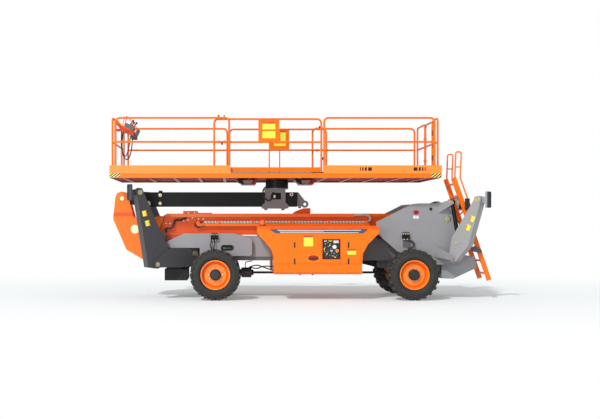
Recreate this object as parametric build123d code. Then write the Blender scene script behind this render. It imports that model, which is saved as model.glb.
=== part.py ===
"""Telescopic boom lift with a long working platform.

The machine stands on four wheels. +X is its ladder end, +Z is up, and the
origin is on the ground under the middle of its outline. Lengths are millimetres.
"near" is the -Y side and "far" is the +Y side.
"""
import os

from build123d import *

# Driving dimensions of the wheels and axles
TYRE_RADIUS = 535
TYRE_WIDTH = 385
TYRE_OVER_WIDTH = 2300
TREAD_DEPTH = 26
LUGS_PER_ROW = 22
RIM_RADIUS = 300
HUB_RADIUS = 112
SPINDLE_RADIUS = 45
SHAFT_RADIUS = 25
SHAFT_FLANGE = 60
FRONT_AXLE_X = -1847
WHEELBASE = 4165
KINGPIN_Y = 700
KINGPIN_RADIUS = 32
AXLE_HALF = 90

# Driving dimensions of the chassis
FRAME_LEFT = -2200
FRAME_RIGHT = 2990
FRAME_BOTTOM = 815
FRAME_TOP = 1110
RAIL_INNER_Y = 290
RAIL_OUTER_Y = 420
CROSS_TUBE = 160
FRONT_BODY_LEFT = -2991
FRONT_BODY_RIGHT = -1066
FRONT_BODY_STEP_RIGHT = -640
FRONT_BODY_STEP_TOP = 1333
FRONT_BODY_HALF = 560
FRONT_BODY_TOP = 1404
FRONT_BODY_BOTTOM = 917
TROUGH_HALF = 262
TOWER_FACE_Y = 620
TOWER_PLATE = 25
TOWER_TOP = 2046
TOWER_FOOT = 735
COWL_FACE_Y = 1120
COWL_INNER_Y = 440
COWL_SHEET = 12
COWL_LEFT = -977
COWL_RIGHT = 1573
COWL_TOP = 1563
COWL_SEAM = 765
COWL_BOTTOM = 552
BEVEL_LOW = 1400
BEVEL_HIGH = 1500
BEVEL_IN = 24
WEIGHT_HALF = 500

# Driving dimensions of the main boom
PIVOT_X = 3124
PIVOT_Z = 1714
PIVOT_PIN_RADIUS = 60
BASE_LEFT = -2933
BASE_SLANT = 175
COLLAR_WIDTH = 45
COLLAR_SHEET = 8
BASE_RIGHT = 2420
BASE_HALF = 215
BASE_BOTTOM = 1366
BASE_TOP = 1830
BOOM_WALL = 12
SECTION_GAP = 14
MID_LEFT = -2985
MID_RIGHT = 2350
FLY_LEFT = -3150
FLY_RIGHT = 2280
HEAD_HALF = 230
HEAD_PLATE = 30
LIFT_FOOT_X = 1765
LIFT_FOOT_Z = 728
LIFT_EYE_X = -420
LIFT_EYE_Z = 1265
LIFT_BARREL_RADIUS = 95
LIFT_ROD_RADIUS = 60
LIFT_PIN_RADIUS = 40

# Driving dimensions of the jib
JIB_PIVOT_X = -3895
JIB_PIVOT_Z = 2162
JIB_PIN_RADIUS = 40
JIB_BOTTOM = 1983
JIB_TOP = 2301
JIB_HALF = 125
JIB_RIGHT = -68
NOSE_HALF = 85
NOSE_EYE_X = 110
NOSE_EYE_Z = 2040
NOSE_EYE_BORE = 35
NOSE_EYE_OUTER = 78
JIB_FOOT_X = -3260
JIB_FOOT_Z = 1060
JIB_EYE_X = -3332
JIB_EYE_Z = 2055
JIB_BARREL_RADIUS = 55
JIB_ROD_RADIUS = 35

# Driving dimensions of the platform
DECK_LEFT = -4055
DECK_RIGHT = 2877
DECK_HALF = 1150
DECK_Z = 2680
DECK_SHEET = 8
FLOOR_PLATE = 3
FLOOR_MARGIN = 110
FLOOR_HALF = 1020
FASCIA_TOP = 2827
FASCIA_BOTTOM = 2566
FASCIA_SHEET = 10
DECK_BEAM_BOTTOM = FASCIA_BOTTOM + 6
ROTATOR_X = -505
ROTATOR_BOTTOM = 2390
ROTATOR_RADIUS = 250
RAIL_TOP_Z = 3820
RAIL_MID_Z = 3319
TUBE_RADIUS = 21
RAIL_INSET = 34
GATE_STEP = 56
PANEL_LEFT = -3932
PANEL_END = -1558
GATE_LEFT = -1872
GATE_RIGHT = 372
OPENING_LEFT = -1530
OPENING_RIGHT = 412
END_RAIL_LEFT = -4003
END_RAIL_RIGHT = 2812
END_POST_Y = 600
END_GATE_NEAR = -560
END_GATE_FAR = 190

# Driving dimensions of the outriggers
FRONT_LEG_TURN = 28
FRONT_LEG_X = -3133
FRONT_LEG_Y = 770
FRONT_LEG_Z = 749
FRONT_LEG_REACH = 390
FRONT_LEG_RISE = 1519
REAR_LEG_TURN = 40
REAR_LEG_X = 3240
REAR_LEG_Y = 785
REAR_LEG_Z = 889
REAR_LEG_REACH = 560
REAR_LEG_RISE = 1219
LEG_HALF = 115
LEG_SLOT_HALF = 56
LEG_PIN_RADIUS = 30
CHEEK_PLATE = 20
LEG_BARREL_RADIUS = 45
LEG_ROD_RADIUS = 30

# Clearances
PIN_FIT = 0.3
SPINDLE_FIT = 0.05
SIDE_GAP = 6

REAR_AXLE_X = FRONT_AXLE_X + WHEELBASE
WHEEL_Y = (TYRE_OVER_WIDTH - TYRE_WIDTH) / 2
SIDES = (("near", -1), ("far", 1))

os.makedirs("parts", exist_ok=True)


# Small helpers that every section uses

def block(x0, x1, y0, y1, z0, z1):
    """A block between two corners."""
    middle = Pos((x0 + x1) / 2, (y0 + y1) / 2, (z0 + z1) / 2)
    return middle * Box(x1 - x0, y1 - y0, z1 - z0)


def bar(start, end, radius):
    """A round bar from one point to another."""
    line = Vector(*end) - Vector(*start)
    place = Plane(origin=start, z_dir=line)
    return place * Cylinder(radius, line.length, align=(Align.CENTER, Align.CENTER, Align.MIN))


def across(x, z, y0, y1, radius):
    """A round bar along Y."""
    return bar((x, y0, z), (x, y1, z), radius)


def outline(points, rounding=0):
    """A flat face in x and z from its corners, all rounded alike."""
    face = make_face(Polyline(*points, close=True))
    if rounding:
        face = fillet(face.vertices(), rounding)
    return face


def slab(face, y0, y1):
    """A face drawn in x and z, made thick from y0 to y1."""
    return Pos(0, y1, 0) * extrude(Plane.XZ * face, y1 - y0)


def plate(points, y0, y1, rounding=0):
    """A flat plate from its corners in x and z."""
    return slab(outline(points, rounding), y0, y1)


def pair(points, y0, y1, rounding=0):
    """Two like plates, one each side of the middle plane."""
    return plate(points, y0, y1, rounding) + plate(points, -y1, -y0, rounding)


def tube(points, bend, radius=TUBE_RADIUS):
    """A bent tube through a few corners."""
    path = FilletPolyline(*points, radius=bend) if len(points) > 2 else Line(*points)
    return sweep(Plane(origin=path @ 0, z_dir=path % 0) * Circle(radius), path=path)


def join(pieces):
    """One shape from a list of pieces."""
    whole = pieces[0]
    for piece in pieces[1:]:
        whole = whole + piece
    return whole


def twin(piece):
    """The far-side twin of a near-side piece, or the other way round."""
    return mirror(piece, about=Plane.XZ)


def save(node, shape):
    """Write one node's STEP file."""
    solids = shape.solids()
    whole = solids[0] if len(solids) == 1 else Compound(children=list(solids))
    export_step(whole, f"parts/{node}.step")


# Wheels: a wide tyre with two rows of lugs on a dished rim

HALF_TYRE = TYRE_WIDTH / 2
CASING = TYRE_RADIUS - TREAD_DEPTH
DISC_FRONT = 120
DISC_BACK = 150
LUG_WIDTH = 62


def tyre():
    """A tyre about the Y axis, centred on the origin."""
    section = make_face(Polyline(
        (RIM_RADIUS, -HALF_TYRE + 50), (RIM_RADIUS + 16, -HALF_TYRE + 47),
        (RIM_RADIUS + 60, -HALF_TYRE + 8),
        (CASING - 110, -HALF_TYRE), (CASING - 24, -HALF_TYRE + 22),
        (CASING, -HALF_TYRE + 60), (CASING, HALF_TYRE - 60),
        (CASING - 24, HALF_TYRE - 22), (CASING - 110, HALF_TYRE),
        (RIM_RADIUS + 60, HALF_TYRE - 8), (RIM_RADIUS + 16, HALF_TYRE - 47),
        (RIM_RADIUS, HALF_TYRE - 50), close=True))
    body = revolve(section, Axis.Y)
    root = CASING - 30
    length = HALF_TYRE + 4
    lug = Pos(0, HALF_TYRE - length / 2 - 2, (root + TYRE_RADIUS) / 2) * Box(
        LUG_WIDTH, length, TYRE_RADIUS - root)
    lug = chamfer(lug.edges().filter_by(Axis.X).group_by(Axis.Z)[-1].sort_by(Axis.Y)[-1], 24)
    step = 360 / LUGS_PER_ROW
    lugs = [Rot(0, number * step, 0) * lug for number in range(LUGS_PER_ROW)]
    lugs += [Rot(0, (number + 0.5) * step, 0) * twin(lug) for number in range(LUGS_PER_ROW)]
    return join([body] + lugs)


def rim():
    """A dished rim and hub about the Y axis, with its open side towards -Y."""
    wall = RIM_RADIUS - 16
    seat = RIM_RADIUS - PIN_FIT
    lip = RIM_RADIUS + 10
    bore = SPINDLE_RADIUS + SPINDLE_FIT
    section = make_face(Polyline(
        (0, -HALF_TYRE + 24), (HUB_RADIUS - 24, -HALF_TYRE + 24), (HUB_RADIUS, -HALF_TYRE + 48),
        (HUB_RADIUS, -HALF_TYRE + DISC_FRONT), (wall - 60, -HALF_TYRE + DISC_FRONT),
        (wall - 16, -HALF_TYRE + 160), (wall, -HALF_TYRE + 160), (wall, -HALF_TYRE + 44),
        (wall + 8, -HALF_TYRE + 30), (lip, -HALF_TYRE + 30), (lip, -HALF_TYRE + 42),
        (seat, -HALF_TYRE + 44), (seat, HALF_TYRE - 44), (lip, HALF_TYRE - 42),
        (lip, HALF_TYRE - 30), (wall + 8, HALF_TYRE - 30), (wall, HALF_TYRE - 44),
        (wall, -HALF_TYRE + 182), (wall - 26, -HALF_TYRE + 182), (wall - 68, -HALF_TYRE + DISC_BACK),
        (bore, -HALF_TYRE + DISC_BACK), (bore, -HALF_TYRE + 70), (0, -HALF_TYRE + 70), close=True))
    return revolve(section, Axis.Y)


STUB_END_Y = WHEEL_Y + HALF_TYRE - DISC_BACK - PIN_FIT
SPINDLE_END_Y = WHEEL_Y + HALF_TYRE - 76

tyre_form = tyre()
rim_form = rim()
for axle, axle_x in (("front", FRONT_AXLE_X), ("rear", REAR_AXLE_X)):
    for side, sign in SIDES:
        turn = Rot(0, 0, 0) if sign < 0 else Rot(0, 0, 180)
        place = Pos(axle_x, sign * WHEEL_Y, TYRE_RADIUS) * turn
        save(f"tyre_{axle}_{side}", place * tyre_form)
        save(f"rim_{axle}_{side}", place * rim_form)


# Axles: the front pair of wheels steers on knuckles, the rear pair is fixed

EAR_BOTTOM = AXLE_HALF + 12
EAR_TOP = EAR_BOTTOM + 45
BOSS_RADIUS = KINGPIN_RADIUS + 16
WEB_START = BOSS_RADIUS + 10


def spindle(x):
    """The stub and spindle that carry a far-side wheel."""
    stub = across(x, TYRE_RADIUS, KINGPIN_Y + WEB_START, STUB_END_Y, 82)
    return stub + across(x, TYRE_RADIUS, STUB_END_Y, SPINDLE_END_Y, SPINDLE_RADIUS)


def far_knuckle():
    """Two ears round the kingpin, the web between them, the spindle and the track arm."""
    low, high = TYRE_RADIUS - EAR_TOP, TYRE_RADIUS + EAR_TOP
    body = block(FRONT_AXLE_X - 65, FRONT_AXLE_X + 65, KINGPIN_Y - 55, KINGPIN_Y + WEB_START + 35, low, high)
    body -= block(FRONT_AXLE_X - 66, FRONT_AXLE_X + 66, KINGPIN_Y - 56, KINGPIN_Y + WEB_START,
                  TYRE_RADIUS - EAR_BOTTOM, TYRE_RADIUS + EAR_BOTTOM)
    arm = block(FRONT_AXLE_X + 60, FRONT_AXLE_X + 230, KINGPIN_Y - 50, KINGPIN_Y, low, low + 30)
    bore = bar((FRONT_AXLE_X, KINGPIN_Y, low - 1), (FRONT_AXLE_X, KINGPIN_Y, high + 1),
               KINGPIN_RADIUS + PIN_FIT)
    return body + spindle(FRONT_AXLE_X) + arm - bore


knuckle = far_knuckle()
save("knuckle_far", knuckle)
save("knuckle_near", twin(knuckle))


def axle_beam(x, nose_reach):
    """The cast beam with its gear case and the nose that points to the middle."""
    beam = block(x - 75, x + 75, -KINGPIN_Y + 80, KINGPIN_Y - 80, TYRE_RADIUS - 85, TYRE_RADIUS + 85)
    case = bar((x - 130, 0, TYRE_RADIUS), (x + 130, 0, TYRE_RADIUS), 165)
    towards = 1 if x < 0 else -1
    nose = bar((x, 0, TYRE_RADIUS), (x + towards * nose_reach, 0, TYRE_RADIUS), 75)
    saddles = [block(x - 70, x + 70, y - 70, y + 70, TYRE_RADIUS + 80, FRAME_BOTTOM) for y in (-355, 355)]
    return join([beam, case, nose] + saddles)


FRONT_NOSE = 620
MOTOR_START = 560
MOTOR_END = 780
REAR_NOSE = 250
front_axle = axle_beam(FRONT_AXLE_X, FRONT_NOSE)
front_axle += bar((FRONT_AXLE_X + MOTOR_START, 0, TYRE_RADIUS), (FRONT_AXLE_X + MOTOR_END, 0, TYRE_RADIUS), 110)
for sign in (-1, 1):
    pin_y = sign * KINGPIN_Y
    reach = sorted((pin_y, sign * (KINGPIN_Y - 90)))
    front_axle += block(FRONT_AXLE_X - 30, FRONT_AXLE_X + 30, reach[0], reach[1],
                        TYRE_RADIUS - AXLE_HALF, TYRE_RADIUS + AXLE_HALF)
    front_axle += bar((FRONT_AXLE_X, pin_y, TYRE_RADIUS - AXLE_HALF),
                      (FRONT_AXLE_X, pin_y, TYRE_RADIUS + AXLE_HALF), BOSS_RADIUS)
    front_axle += bar((FRONT_AXLE_X, pin_y, TYRE_RADIUS - EAR_TOP),
                      (FRONT_AXLE_X, pin_y, TYRE_RADIUS + EAR_TOP), KINGPIN_RADIUS)
save("front_axle", front_axle)

rear_axle = axle_beam(REAR_AXLE_X, REAR_NOSE)
rear_axle += block(REAR_AXLE_X - 75, REAR_AXLE_X + 75, -KINGPIN_Y - WEB_START - 20,
                   KINGPIN_Y + WEB_START + 20, TYRE_RADIUS - 85, TYRE_RADIUS + 85)
rear_axle += spindle(REAR_AXLE_X) + twin(spindle(REAR_AXLE_X))
save("rear_axle", rear_axle)

shaft_start, shaft_end = FRONT_AXLE_X + MOTOR_END, REAR_AXLE_X - REAR_NOSE
drive_shaft = bar((shaft_start, 0, TYRE_RADIUS), (shaft_end, 0, TYRE_RADIUS), SHAFT_RADIUS)
drive_shaft += bar((shaft_start, 0, TYRE_RADIUS), (shaft_start + 45, 0, TYRE_RADIUS), SHAFT_FLANGE)
drive_shaft += bar((shaft_end - 45, 0, TYRE_RADIUS), (shaft_end, 0, TYRE_RADIUS), SHAFT_FLANGE)
save("drive_shaft", drive_shaft)


# Main frame: two box rails, cross tubes, and the lugs of the lift cylinder

LUG_INNER = LIFT_BARREL_RADIUS + SIDE_GAP
LUG_OUTER = LUG_INNER + 35
LIFT_LUG_RADIUS = 88
BOX_PROUD = 12

rails = [block(FRAME_LEFT, FRAME_RIGHT, y0, y1, FRAME_BOTTOM, FRAME_TOP)
         for y0, y1 in ((-RAIL_OUTER_Y, -RAIL_INNER_Y), (RAIL_INNER_Y, RAIL_OUTER_Y))]
cross_xs = (-1500, 2250, 2800)
crosses = [block(x - 60, x + 60, -RAIL_INNER_Y, RAIL_INNER_Y, FRAME_BOTTOM, FRAME_BOTTOM + CROSS_TUBE)
           for x in cross_xs]
lift_beam = block(LIFT_FOOT_X + 130, LIFT_FOOT_X + 260, -RAIL_INNER_Y, RAIL_INNER_Y,
                  LIFT_FOOT_Z - 110, FRAME_BOTTOM + CROSS_TUBE)
lift_lugs = [plate([(LIFT_FOOT_X - 75, LIFT_FOOT_Z - 75), (LIFT_FOOT_X + 140, LIFT_FOOT_Z - 105),
                    (LIFT_FOOT_X + 140, LIFT_FOOT_Z + 160), (LIFT_FOOT_X - 75, LIFT_FOOT_Z + 75)], y0, y1)
             for y0, y1 in ((-LUG_OUTER, -LUG_INNER), (LUG_INNER, LUG_OUTER))]
lift_lugs += [across(LIFT_FOOT_X, LIFT_FOOT_Z, y0, y1, LIFT_LUG_RADIUS)
              for y0, y1 in ((-LUG_OUTER, -LUG_INNER), (LUG_INNER, LUG_OUTER))]
pin_end = LUG_OUTER + 12
lift_pin = across(LIFT_FOOT_X, LIFT_FOOT_Z, -pin_end, pin_end, LIFT_PIN_RADIUS)
for sign in (-1, 1):
    y0, y1 = sorted((sign * (pin_end - 30), sign * (pin_end + 1)))
    lift_pin -= across(LIFT_FOOT_X, LIFT_FOOT_Z, y0, y1, LIFT_PIN_RADIUS - 12)
side_boxes = pair([(1290, FRAME_TOP - 90), (1290, 1322), (1471, 1312), (1880, 1268), (1905, 1240),
                   (1905, FRAME_TOP - 90)], TROUGH_HALF, RAIL_OUTER_Y + BOX_PROUD)
side_boxes -= block(1200, 2000, -RAIL_INNER_Y, RAIL_INNER_Y, FRAME_BOTTOM, FRAME_TOP)
save("main_frame", join(rails + crosses + [lift_beam] + lift_lugs + [lift_pin, side_boxes]))


# Outriggers are drawn in their own upright plane: x outwards, z up from the leg pin

def stand_outrigger(shape, front, sign):
    """Put a shape from the outrigger's plane at one corner of the machine."""
    if front:
        x, y, z = FRONT_LEG_X, FRONT_LEG_Y, FRONT_LEG_Z
        turn = 180 - sign * FRONT_LEG_TURN
    else:
        x, y, z = REAR_LEG_X, REAR_LEG_Y, REAR_LEG_Z
        turn = sign * REAR_LEG_TURN
    return Pos(x, sign * y, z) * Rot(0, 0, turn) * shape


PAD_OFFSET = 205
PAD_LENGTH = 340
PAD_WIDTH = 225
PAD_PLATE = 34
PAD_SHEET = 14
PAD_CORNER = 26
CHEEK_INNER = LEG_HALF + SIDE_GAP
CHEEK_OUTER = CHEEK_INNER + CHEEK_PLATE

FRONT_CYLINDER_FOOT = (-880, 215)
FRONT_CYLINDER_EYE = (-120, 250)
REAR_CYLINDER_FOOT = (-66, 1180)
REAR_CYLINDER_EYE = (92, 317)


def leg(points, reach, rise, slot):
    """A box leg with its bores, its cylinder slot and its foot."""
    body = plate(points, -LEG_HALF, LEG_HALF)
    body += across(0, 0, -LEG_HALF, LEG_HALF, 92)
    body += across(reach, rise, -LEG_HALF, LEG_HALF, 78)
    body -= plate(slot, -LEG_SLOT_HALF, LEG_SLOT_HALF)
    body -= across(0, 0, -LEG_HALF - 1, LEG_HALF + 1, LEG_PIN_RADIUS + PIN_FIT)
    arm = block(reach, reach + PAD_OFFSET - PAD_PLATE, -50, 50, rise - 60, rise + 60)
    foot = block(reach + PAD_OFFSET - PAD_PLATE, reach + PAD_OFFSET, -PAD_WIDTH / 2, PAD_WIDTH / 2,
                 rise - PAD_LENGTH / 2, rise + PAD_LENGTH / 2)
    foot = chamfer(foot.edges().filter_by(Axis.X), PAD_CORNER)
    foot -= block(reach + PAD_OFFSET - PAD_PLATE + PAD_SHEET, reach + PAD_OFFSET + 1,
                  -PAD_WIDTH / 2 + PAD_SHEET, PAD_WIDTH / 2 - PAD_SHEET,
                  rise - PAD_LENGTH / 2 + PAD_SHEET, rise + PAD_LENGTH / 2 - PAD_SHEET)
    return body + arm + foot


front_leg = leg([(-255, 331), (FRONT_LEG_REACH - 78, FRONT_LEG_RISE), (FRONT_LEG_REACH + 78, FRONT_LEG_RISE),
                 (205, -64), (0, -92), (-92, 0)],
                FRONT_LEG_REACH, FRONT_LEG_RISE,
                [(-400, 340), (-12, 340), (-12, -150), (-400, -150)])
rear_leg = leg([(-60, 180), (-20, 420), (REAR_LEG_REACH - 78, REAR_LEG_RISE), (REAR_LEG_REACH + 78, REAR_LEG_RISE),
                (360, 270), (100, -40), (0, -92), (-92, 0)],
               REAR_LEG_REACH, REAR_LEG_RISE,
               [(-200, 0), (190, 110), (190, 700), (-200, 700)])


def cylinder(foot, eye, barrel_radius, rod_radius, half, pin_radius, foot_end, rod_end):
    """A hydraulic cylinder in an upright plane: its barrel on the foot pin, its rod on the eye pin."""
    line = Vector(eye[0] - foot[0], 0, eye[1] - foot[1])
    length = line.length
    way = line.normalized()
    start = Vector(foot[0], 0, foot[1])
    gland = start + way * (length - rod_end)

    def lug(centre, radius):
        ring = across(centre.X, centre.Z, -half, half, radius)
        return ring, across(centre.X, centre.Z, -half - 1, half + 1, pin_radius + PIN_FIT)

    foot_ring, foot_bore = lug(start, foot_end)
    end = start + way * length
    eye_ring, eye_bore = lug(end, foot_end)
    body_start = start + way * (foot_end * 0.6)
    barrel = bar(tuple(body_start), tuple(gland), barrel_radius) + foot_ring - foot_bore
    hollow = bar(tuple(start + way * (foot_end + 20)), tuple(gland + way), rod_radius + 0.5)
    barrel -= hollow
    rod = bar(tuple(start + way * (foot_end + 40)), tuple(end), rod_radius) + eye_ring - eye_bore
    return barrel, rod


front_barrel, front_rod = cylinder(FRONT_CYLINDER_FOOT, FRONT_CYLINDER_EYE, LEG_BARREL_RADIUS,
                                   LEG_ROD_RADIUS, LEG_SLOT_HALF - 4, LEG_PIN_RADIUS, 52, 110)
rear_barrel, rear_rod = cylinder(REAR_CYLINDER_FOOT, REAR_CYLINDER_EYE, LEG_BARREL_RADIUS,
                                 LEG_ROD_RADIUS, LEG_SLOT_HALF - 4, LEG_PIN_RADIUS, 52, 120)
for end, front in (("front", True), ("rear", False)):
    leg_form = front_leg if front else rear_leg
    barrel_form = front_barrel if front else rear_barrel
    rod_form = front_rod if front else rear_rod
    for side, sign in SIDES:
        save(f"outrigger_leg_{end}_{side}", stand_outrigger(leg_form, front, sign))
        save(f"outrigger_barrel_{end}_{side}", stand_outrigger(barrel_form, front, sign))
        save(f"outrigger_rod_{end}_{side}", stand_outrigger(rod_form, front, sign))


# Front outrigger beams: forked boxes that run back to a cross box under the front body

BEAM_LENGTH = 960
BEAM_TOP = 331
BEAM_FOOT = -69


def forked_beam():
    """One beam in the outrigger's plane."""
    cheek = [(-BEAM_LENGTH, BEAM_TOP), (-255, BEAM_TOP), (83, 67), (83, BEAM_FOOT), (-BEAM_LENGTH, BEAM_FOOT)]
    sides = pair(cheek, CHEEK_INNER, CHEEK_OUTER)
    top = block(-BEAM_LENGTH, -330, -CHEEK_OUTER, CHEEK_OUTER, BEAM_TOP - 20, BEAM_TOP)
    back = block(-BEAM_LENGTH, -BEAM_LENGTH + 20, -CHEEK_OUTER, CHEEK_OUTER, BEAM_FOOT, BEAM_TOP)
    pins = [across(0, 0, -CHEEK_OUTER - 8, CHEEK_OUTER + 8, LEG_PIN_RADIUS)]
    foot = FRONT_CYLINDER_FOOT
    pins.append(across(foot[0], foot[1], -CHEEK_OUTER - 8, CHEEK_OUTER + 8, LEG_PIN_RADIUS))
    return join([sides, top, back] + pins)


front_box = block(-2600, -2030, -500, 500, FRONT_LEG_Z + BEAM_FOOT, FRAME_BOTTOM)
beams = [stand_outrigger(forked_beam(), True, sign) for side, sign in SIDES]
save("front_outrigger_beams", join([front_box] + beams))
weight_hangers = [block(x - 30, x + 30, y - 30, y + 30, 600, FRONT_LEG_Z + BEAM_FOOT)
                  for x in (-2580, -2480) for y in (-350, 350)]
front_weight = block(-2946, -2460, -540, 540, 389, 634)
save("front_weight", join([front_weight] + weight_hangers))


# Front body: two side boxes with a trough for the boom and an oval slot on each side

SLOT_LENGTH = 285
SLOT_HEIGHT = 125
SLOT_DEPTH = 110

def front_body():
    """The light grey body over the front wheels, cut away round the frame rails."""
    shape = plate([(FRONT_BODY_LEFT, 1182), (-2526, FRONT_BODY_TOP), (-1459, FRONT_BODY_TOP),
                   (-1120, 1306), (FRONT_BODY_RIGHT, 1262), (FRONT_BODY_RIGHT, FRONT_BODY_BOTTOM + 40),
                   (FRONT_BODY_RIGHT - 40, FRONT_BODY_BOTTOM), (-2190, FRONT_BODY_BOTTOM), (-2190, 1090),
                   (-2860, 1090)], -FRONT_BODY_HALF, FRONT_BODY_HALF)
    for sign in (-1, 1):
        middle = Pos(-1595, sign * FRONT_BODY_HALF, 1090)
        shape -= middle * Box(SLOT_LENGTH - SLOT_HEIGHT, 2 * SLOT_DEPTH, SLOT_HEIGHT)
        for end in (-1, 1):
            shape -= middle * Pos(end * (SLOT_LENGTH - SLOT_HEIGHT) / 2, 0, 0) * Rot(90, 0, 0) * Cylinder(
                SLOT_HEIGHT / 2, 2 * SLOT_DEPTH)
    step_half = RAIL_OUTER_Y + BOX_PROUD
    shape += block(FRONT_BODY_RIGHT - 180, FRONT_BODY_STEP_RIGHT, -step_half, step_half,
                   FRONT_BODY_BOTTOM - 20, FRONT_BODY_STEP_TOP)
    trough = block(FRONT_BODY_LEFT - 10, FRONT_BODY_STEP_RIGHT + 10, -TROUGH_HALF, TROUGH_HALF,
                   1180, FRONT_BODY_TOP + 10)
    under = block(FRONT_BODY_LEFT - 10, FRONT_BODY_STEP_RIGHT + 10, -RAIL_OUTER_Y, RAIL_OUTER_Y,
                  FRONT_BODY_BOTTOM - 30, FRAME_TOP)
    return shape - trough - under


save("front_body", front_body())


# Towers: two side plates that carry the boom pivot and the rear outriggers

LIFT_SLOT_X = 2447
LIFT_SLOT_Z = 1851
LIFT_SLOT_RADIUS = 38
TOWER_RIM_Z = 1982
TOWER_RIM_STEP = 8
TOWER_INNER_Y = TOWER_FACE_Y - TOWER_PLATE
tower_outline = [(1590, 1440), (1590, 1646), (2359, 2031), (2507, TOWER_TOP), (2927, TOWER_TOP), (3130, 1990),
                 (3263, 1791), (3336, 1350), (3300, TOWER_FOOT), (2700, TOWER_FOOT), (2040, 1022),
                 (1646, 1367)]


def towers():
    """Both side plates, what joins them, the boom's pin and the four outrigger brackets."""
    sides = pair(tower_outline, TOWER_INNER_Y, TOWER_FACE_Y)
    sides -= across(LIFT_SLOT_X, LIFT_SLOT_Z, -TOWER_FACE_Y - 1, TOWER_FACE_Y + 1, LIFT_SLOT_RADIUS)
    rim_y = TOWER_FACE_Y - TOWER_RIM_STEP
    sides -= pair([(2310, TOWER_RIM_Z), (3190, TOWER_RIM_Z), (3190, TOWER_TOP + 9), (2310, TOWER_TOP + 9)],
                  rim_y, TOWER_FACE_Y + 1)
    boss_inner = BASE_HALF + SIDE_GAP
    parts = [sides, across(PIVOT_X, PIVOT_Z, -TOWER_FACE_Y - 6, TOWER_FACE_Y + 6, PIVOT_PIN_RADIUS)]
    for sign in (-1, 1):
        y0, y1 = sorted((sign * boss_inner, sign * (TOWER_FACE_Y - 5)))
        parts.append(across(PIVOT_X, PIVOT_Z, y0, y1, 110))
        y0, y1 = sorted((sign * RAIL_OUTER_Y, sign * TOWER_INNER_Y))
        parts.append(block(2700, 2730, y0, y1, FRAME_BOTTOM, FRAME_TOP))
    parts.append(block(2700, 2730, -TOWER_INNER_Y, TOWER_INNER_Y, FRAME_TOP, 1240))
    parts.append(block(FRAME_RIGHT, FRAME_RIGHT + 30, -TOWER_INNER_Y, TOWER_INNER_Y, TOWER_FOOT, 1460))
    return join(parts)


def rear_brackets():
    """Upper and lower bracket of one rear outrigger, in its plane."""
    upper = [(-67 - 350, 1180 - 51), (-67 - 350, 1180 - 273), (-67 + 81, 1180 - 28), (-67 + 40, 1180 + 36),
             (-67 - 40, 1180 + 40)]
    lower = [(-432, 273), (61, 30), (30, -68), (-432, 17)]
    plates = pair(upper, LEG_SLOT_HALF + 2, LEG_SLOT_HALF + 2 + CHEEK_PLATE)
    plates += pair(lower, CHEEK_INNER, CHEEK_OUTER)
    foot = REAR_CYLINDER_FOOT
    plates += across(foot[0], foot[1], -LEG_SLOT_HALF - CHEEK_PLATE - 8, LEG_SLOT_HALF + CHEEK_PLATE + 8,
                     LEG_PIN_RADIUS)
    return plates + across(0, 0, -CHEEK_OUTER - 8, CHEEK_OUTER + 8, LEG_PIN_RADIUS)


def bracket_at(sign):
    """One corner's brackets, cut off at the tower's outer face."""
    inside = sorted((sign * (TOWER_FACE_Y - 3), 0))
    return stand_outrigger(rear_brackets(), False, sign) - block(
        2000, 4000, inside[0], inside[1], TOWER_FOOT - 200, TOWER_TOP + 300)


save("boom_towers", join([towers(), bracket_at(-1), bracket_at(1)]))
rear_weight = plate([(FRAME_RIGHT + 30, 718), (FRAME_RIGHT + 30, 431), (3269, 423), (3779, 661),
                     (3721, 907), (FRAME_RIGHT + 30, 907)], -WEIGHT_HALF, WEIGHT_HALF)
save("rear_weight", rear_weight)


# Ladder at the rear, with two hooped handrails

LADDER_NEAR = -600
LADDER_FAR = 150
LADDER_TOP = (3255, 2600)
LADDER_FOOT = (4015, 400)
STILE_WIDTH = 100
STILE_SHEET = 36
TREADS = 8


def ladder():
    """Two flat stiles, treads between them, handrails and the arms that hold the ladder."""
    run = Vector(LADDER_FOOT[0] - LADDER_TOP[0], 0, LADDER_FOOT[1] - LADDER_TOP[1])
    way = run.normalized()
    out = Vector(-way.Z, 0, way.X) * (STILE_WIDTH / 2)
    corners = []
    for x, z, side in ((*LADDER_TOP, 1), (*LADDER_FOOT, 1), (*LADDER_FOOT, -1), (*LADDER_TOP, -1)):
        corners.append((x + side * out.X, z + side * out.Z))
    parts = []
    for y in (LADDER_NEAR, LADDER_FAR):
        parts.append(plate(corners, y - STILE_SHEET / 2, y + STILE_SHEET / 2))
        hoop = [(LADDER_TOP[0] + 25, y, LADDER_TOP[1] - 40), (LADDER_TOP[0] + 45, y, 3150),
                (LADDER_TOP[0] + 165, y, 3150), (LADDER_TOP[0] + 140, y, 2590), (3650, y, 1890),
                (3555, y, 1790)]
        parts.append(tube(hoop, 45, 16))
        parts.append(bar((LADDER_TOP[0] + 38, y, 2827), (LADDER_TOP[0] + 150, y, 2827), 14))
    for number in range(TREADS):
        share = (number + 0.5) / TREADS
        x = LADDER_TOP[0] + run.X * share
        z = LADDER_TOP[1] + run.Z * share
        parts.append(block(x - 45, x + 45, LADDER_NEAR, LADDER_FAR, z - 14, z + 14))
    for y in (LADDER_NEAR + 60, LADDER_FAR - 60):
        parts.append(block(FRAME_RIGHT + 30, 3690, y - 30, y + 30, 1350, 1410))
    return join(parts)


save("ladder", ladder())


# Side trays and hoods: the orange cowling on each side, hinged along its top inner edge

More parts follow.
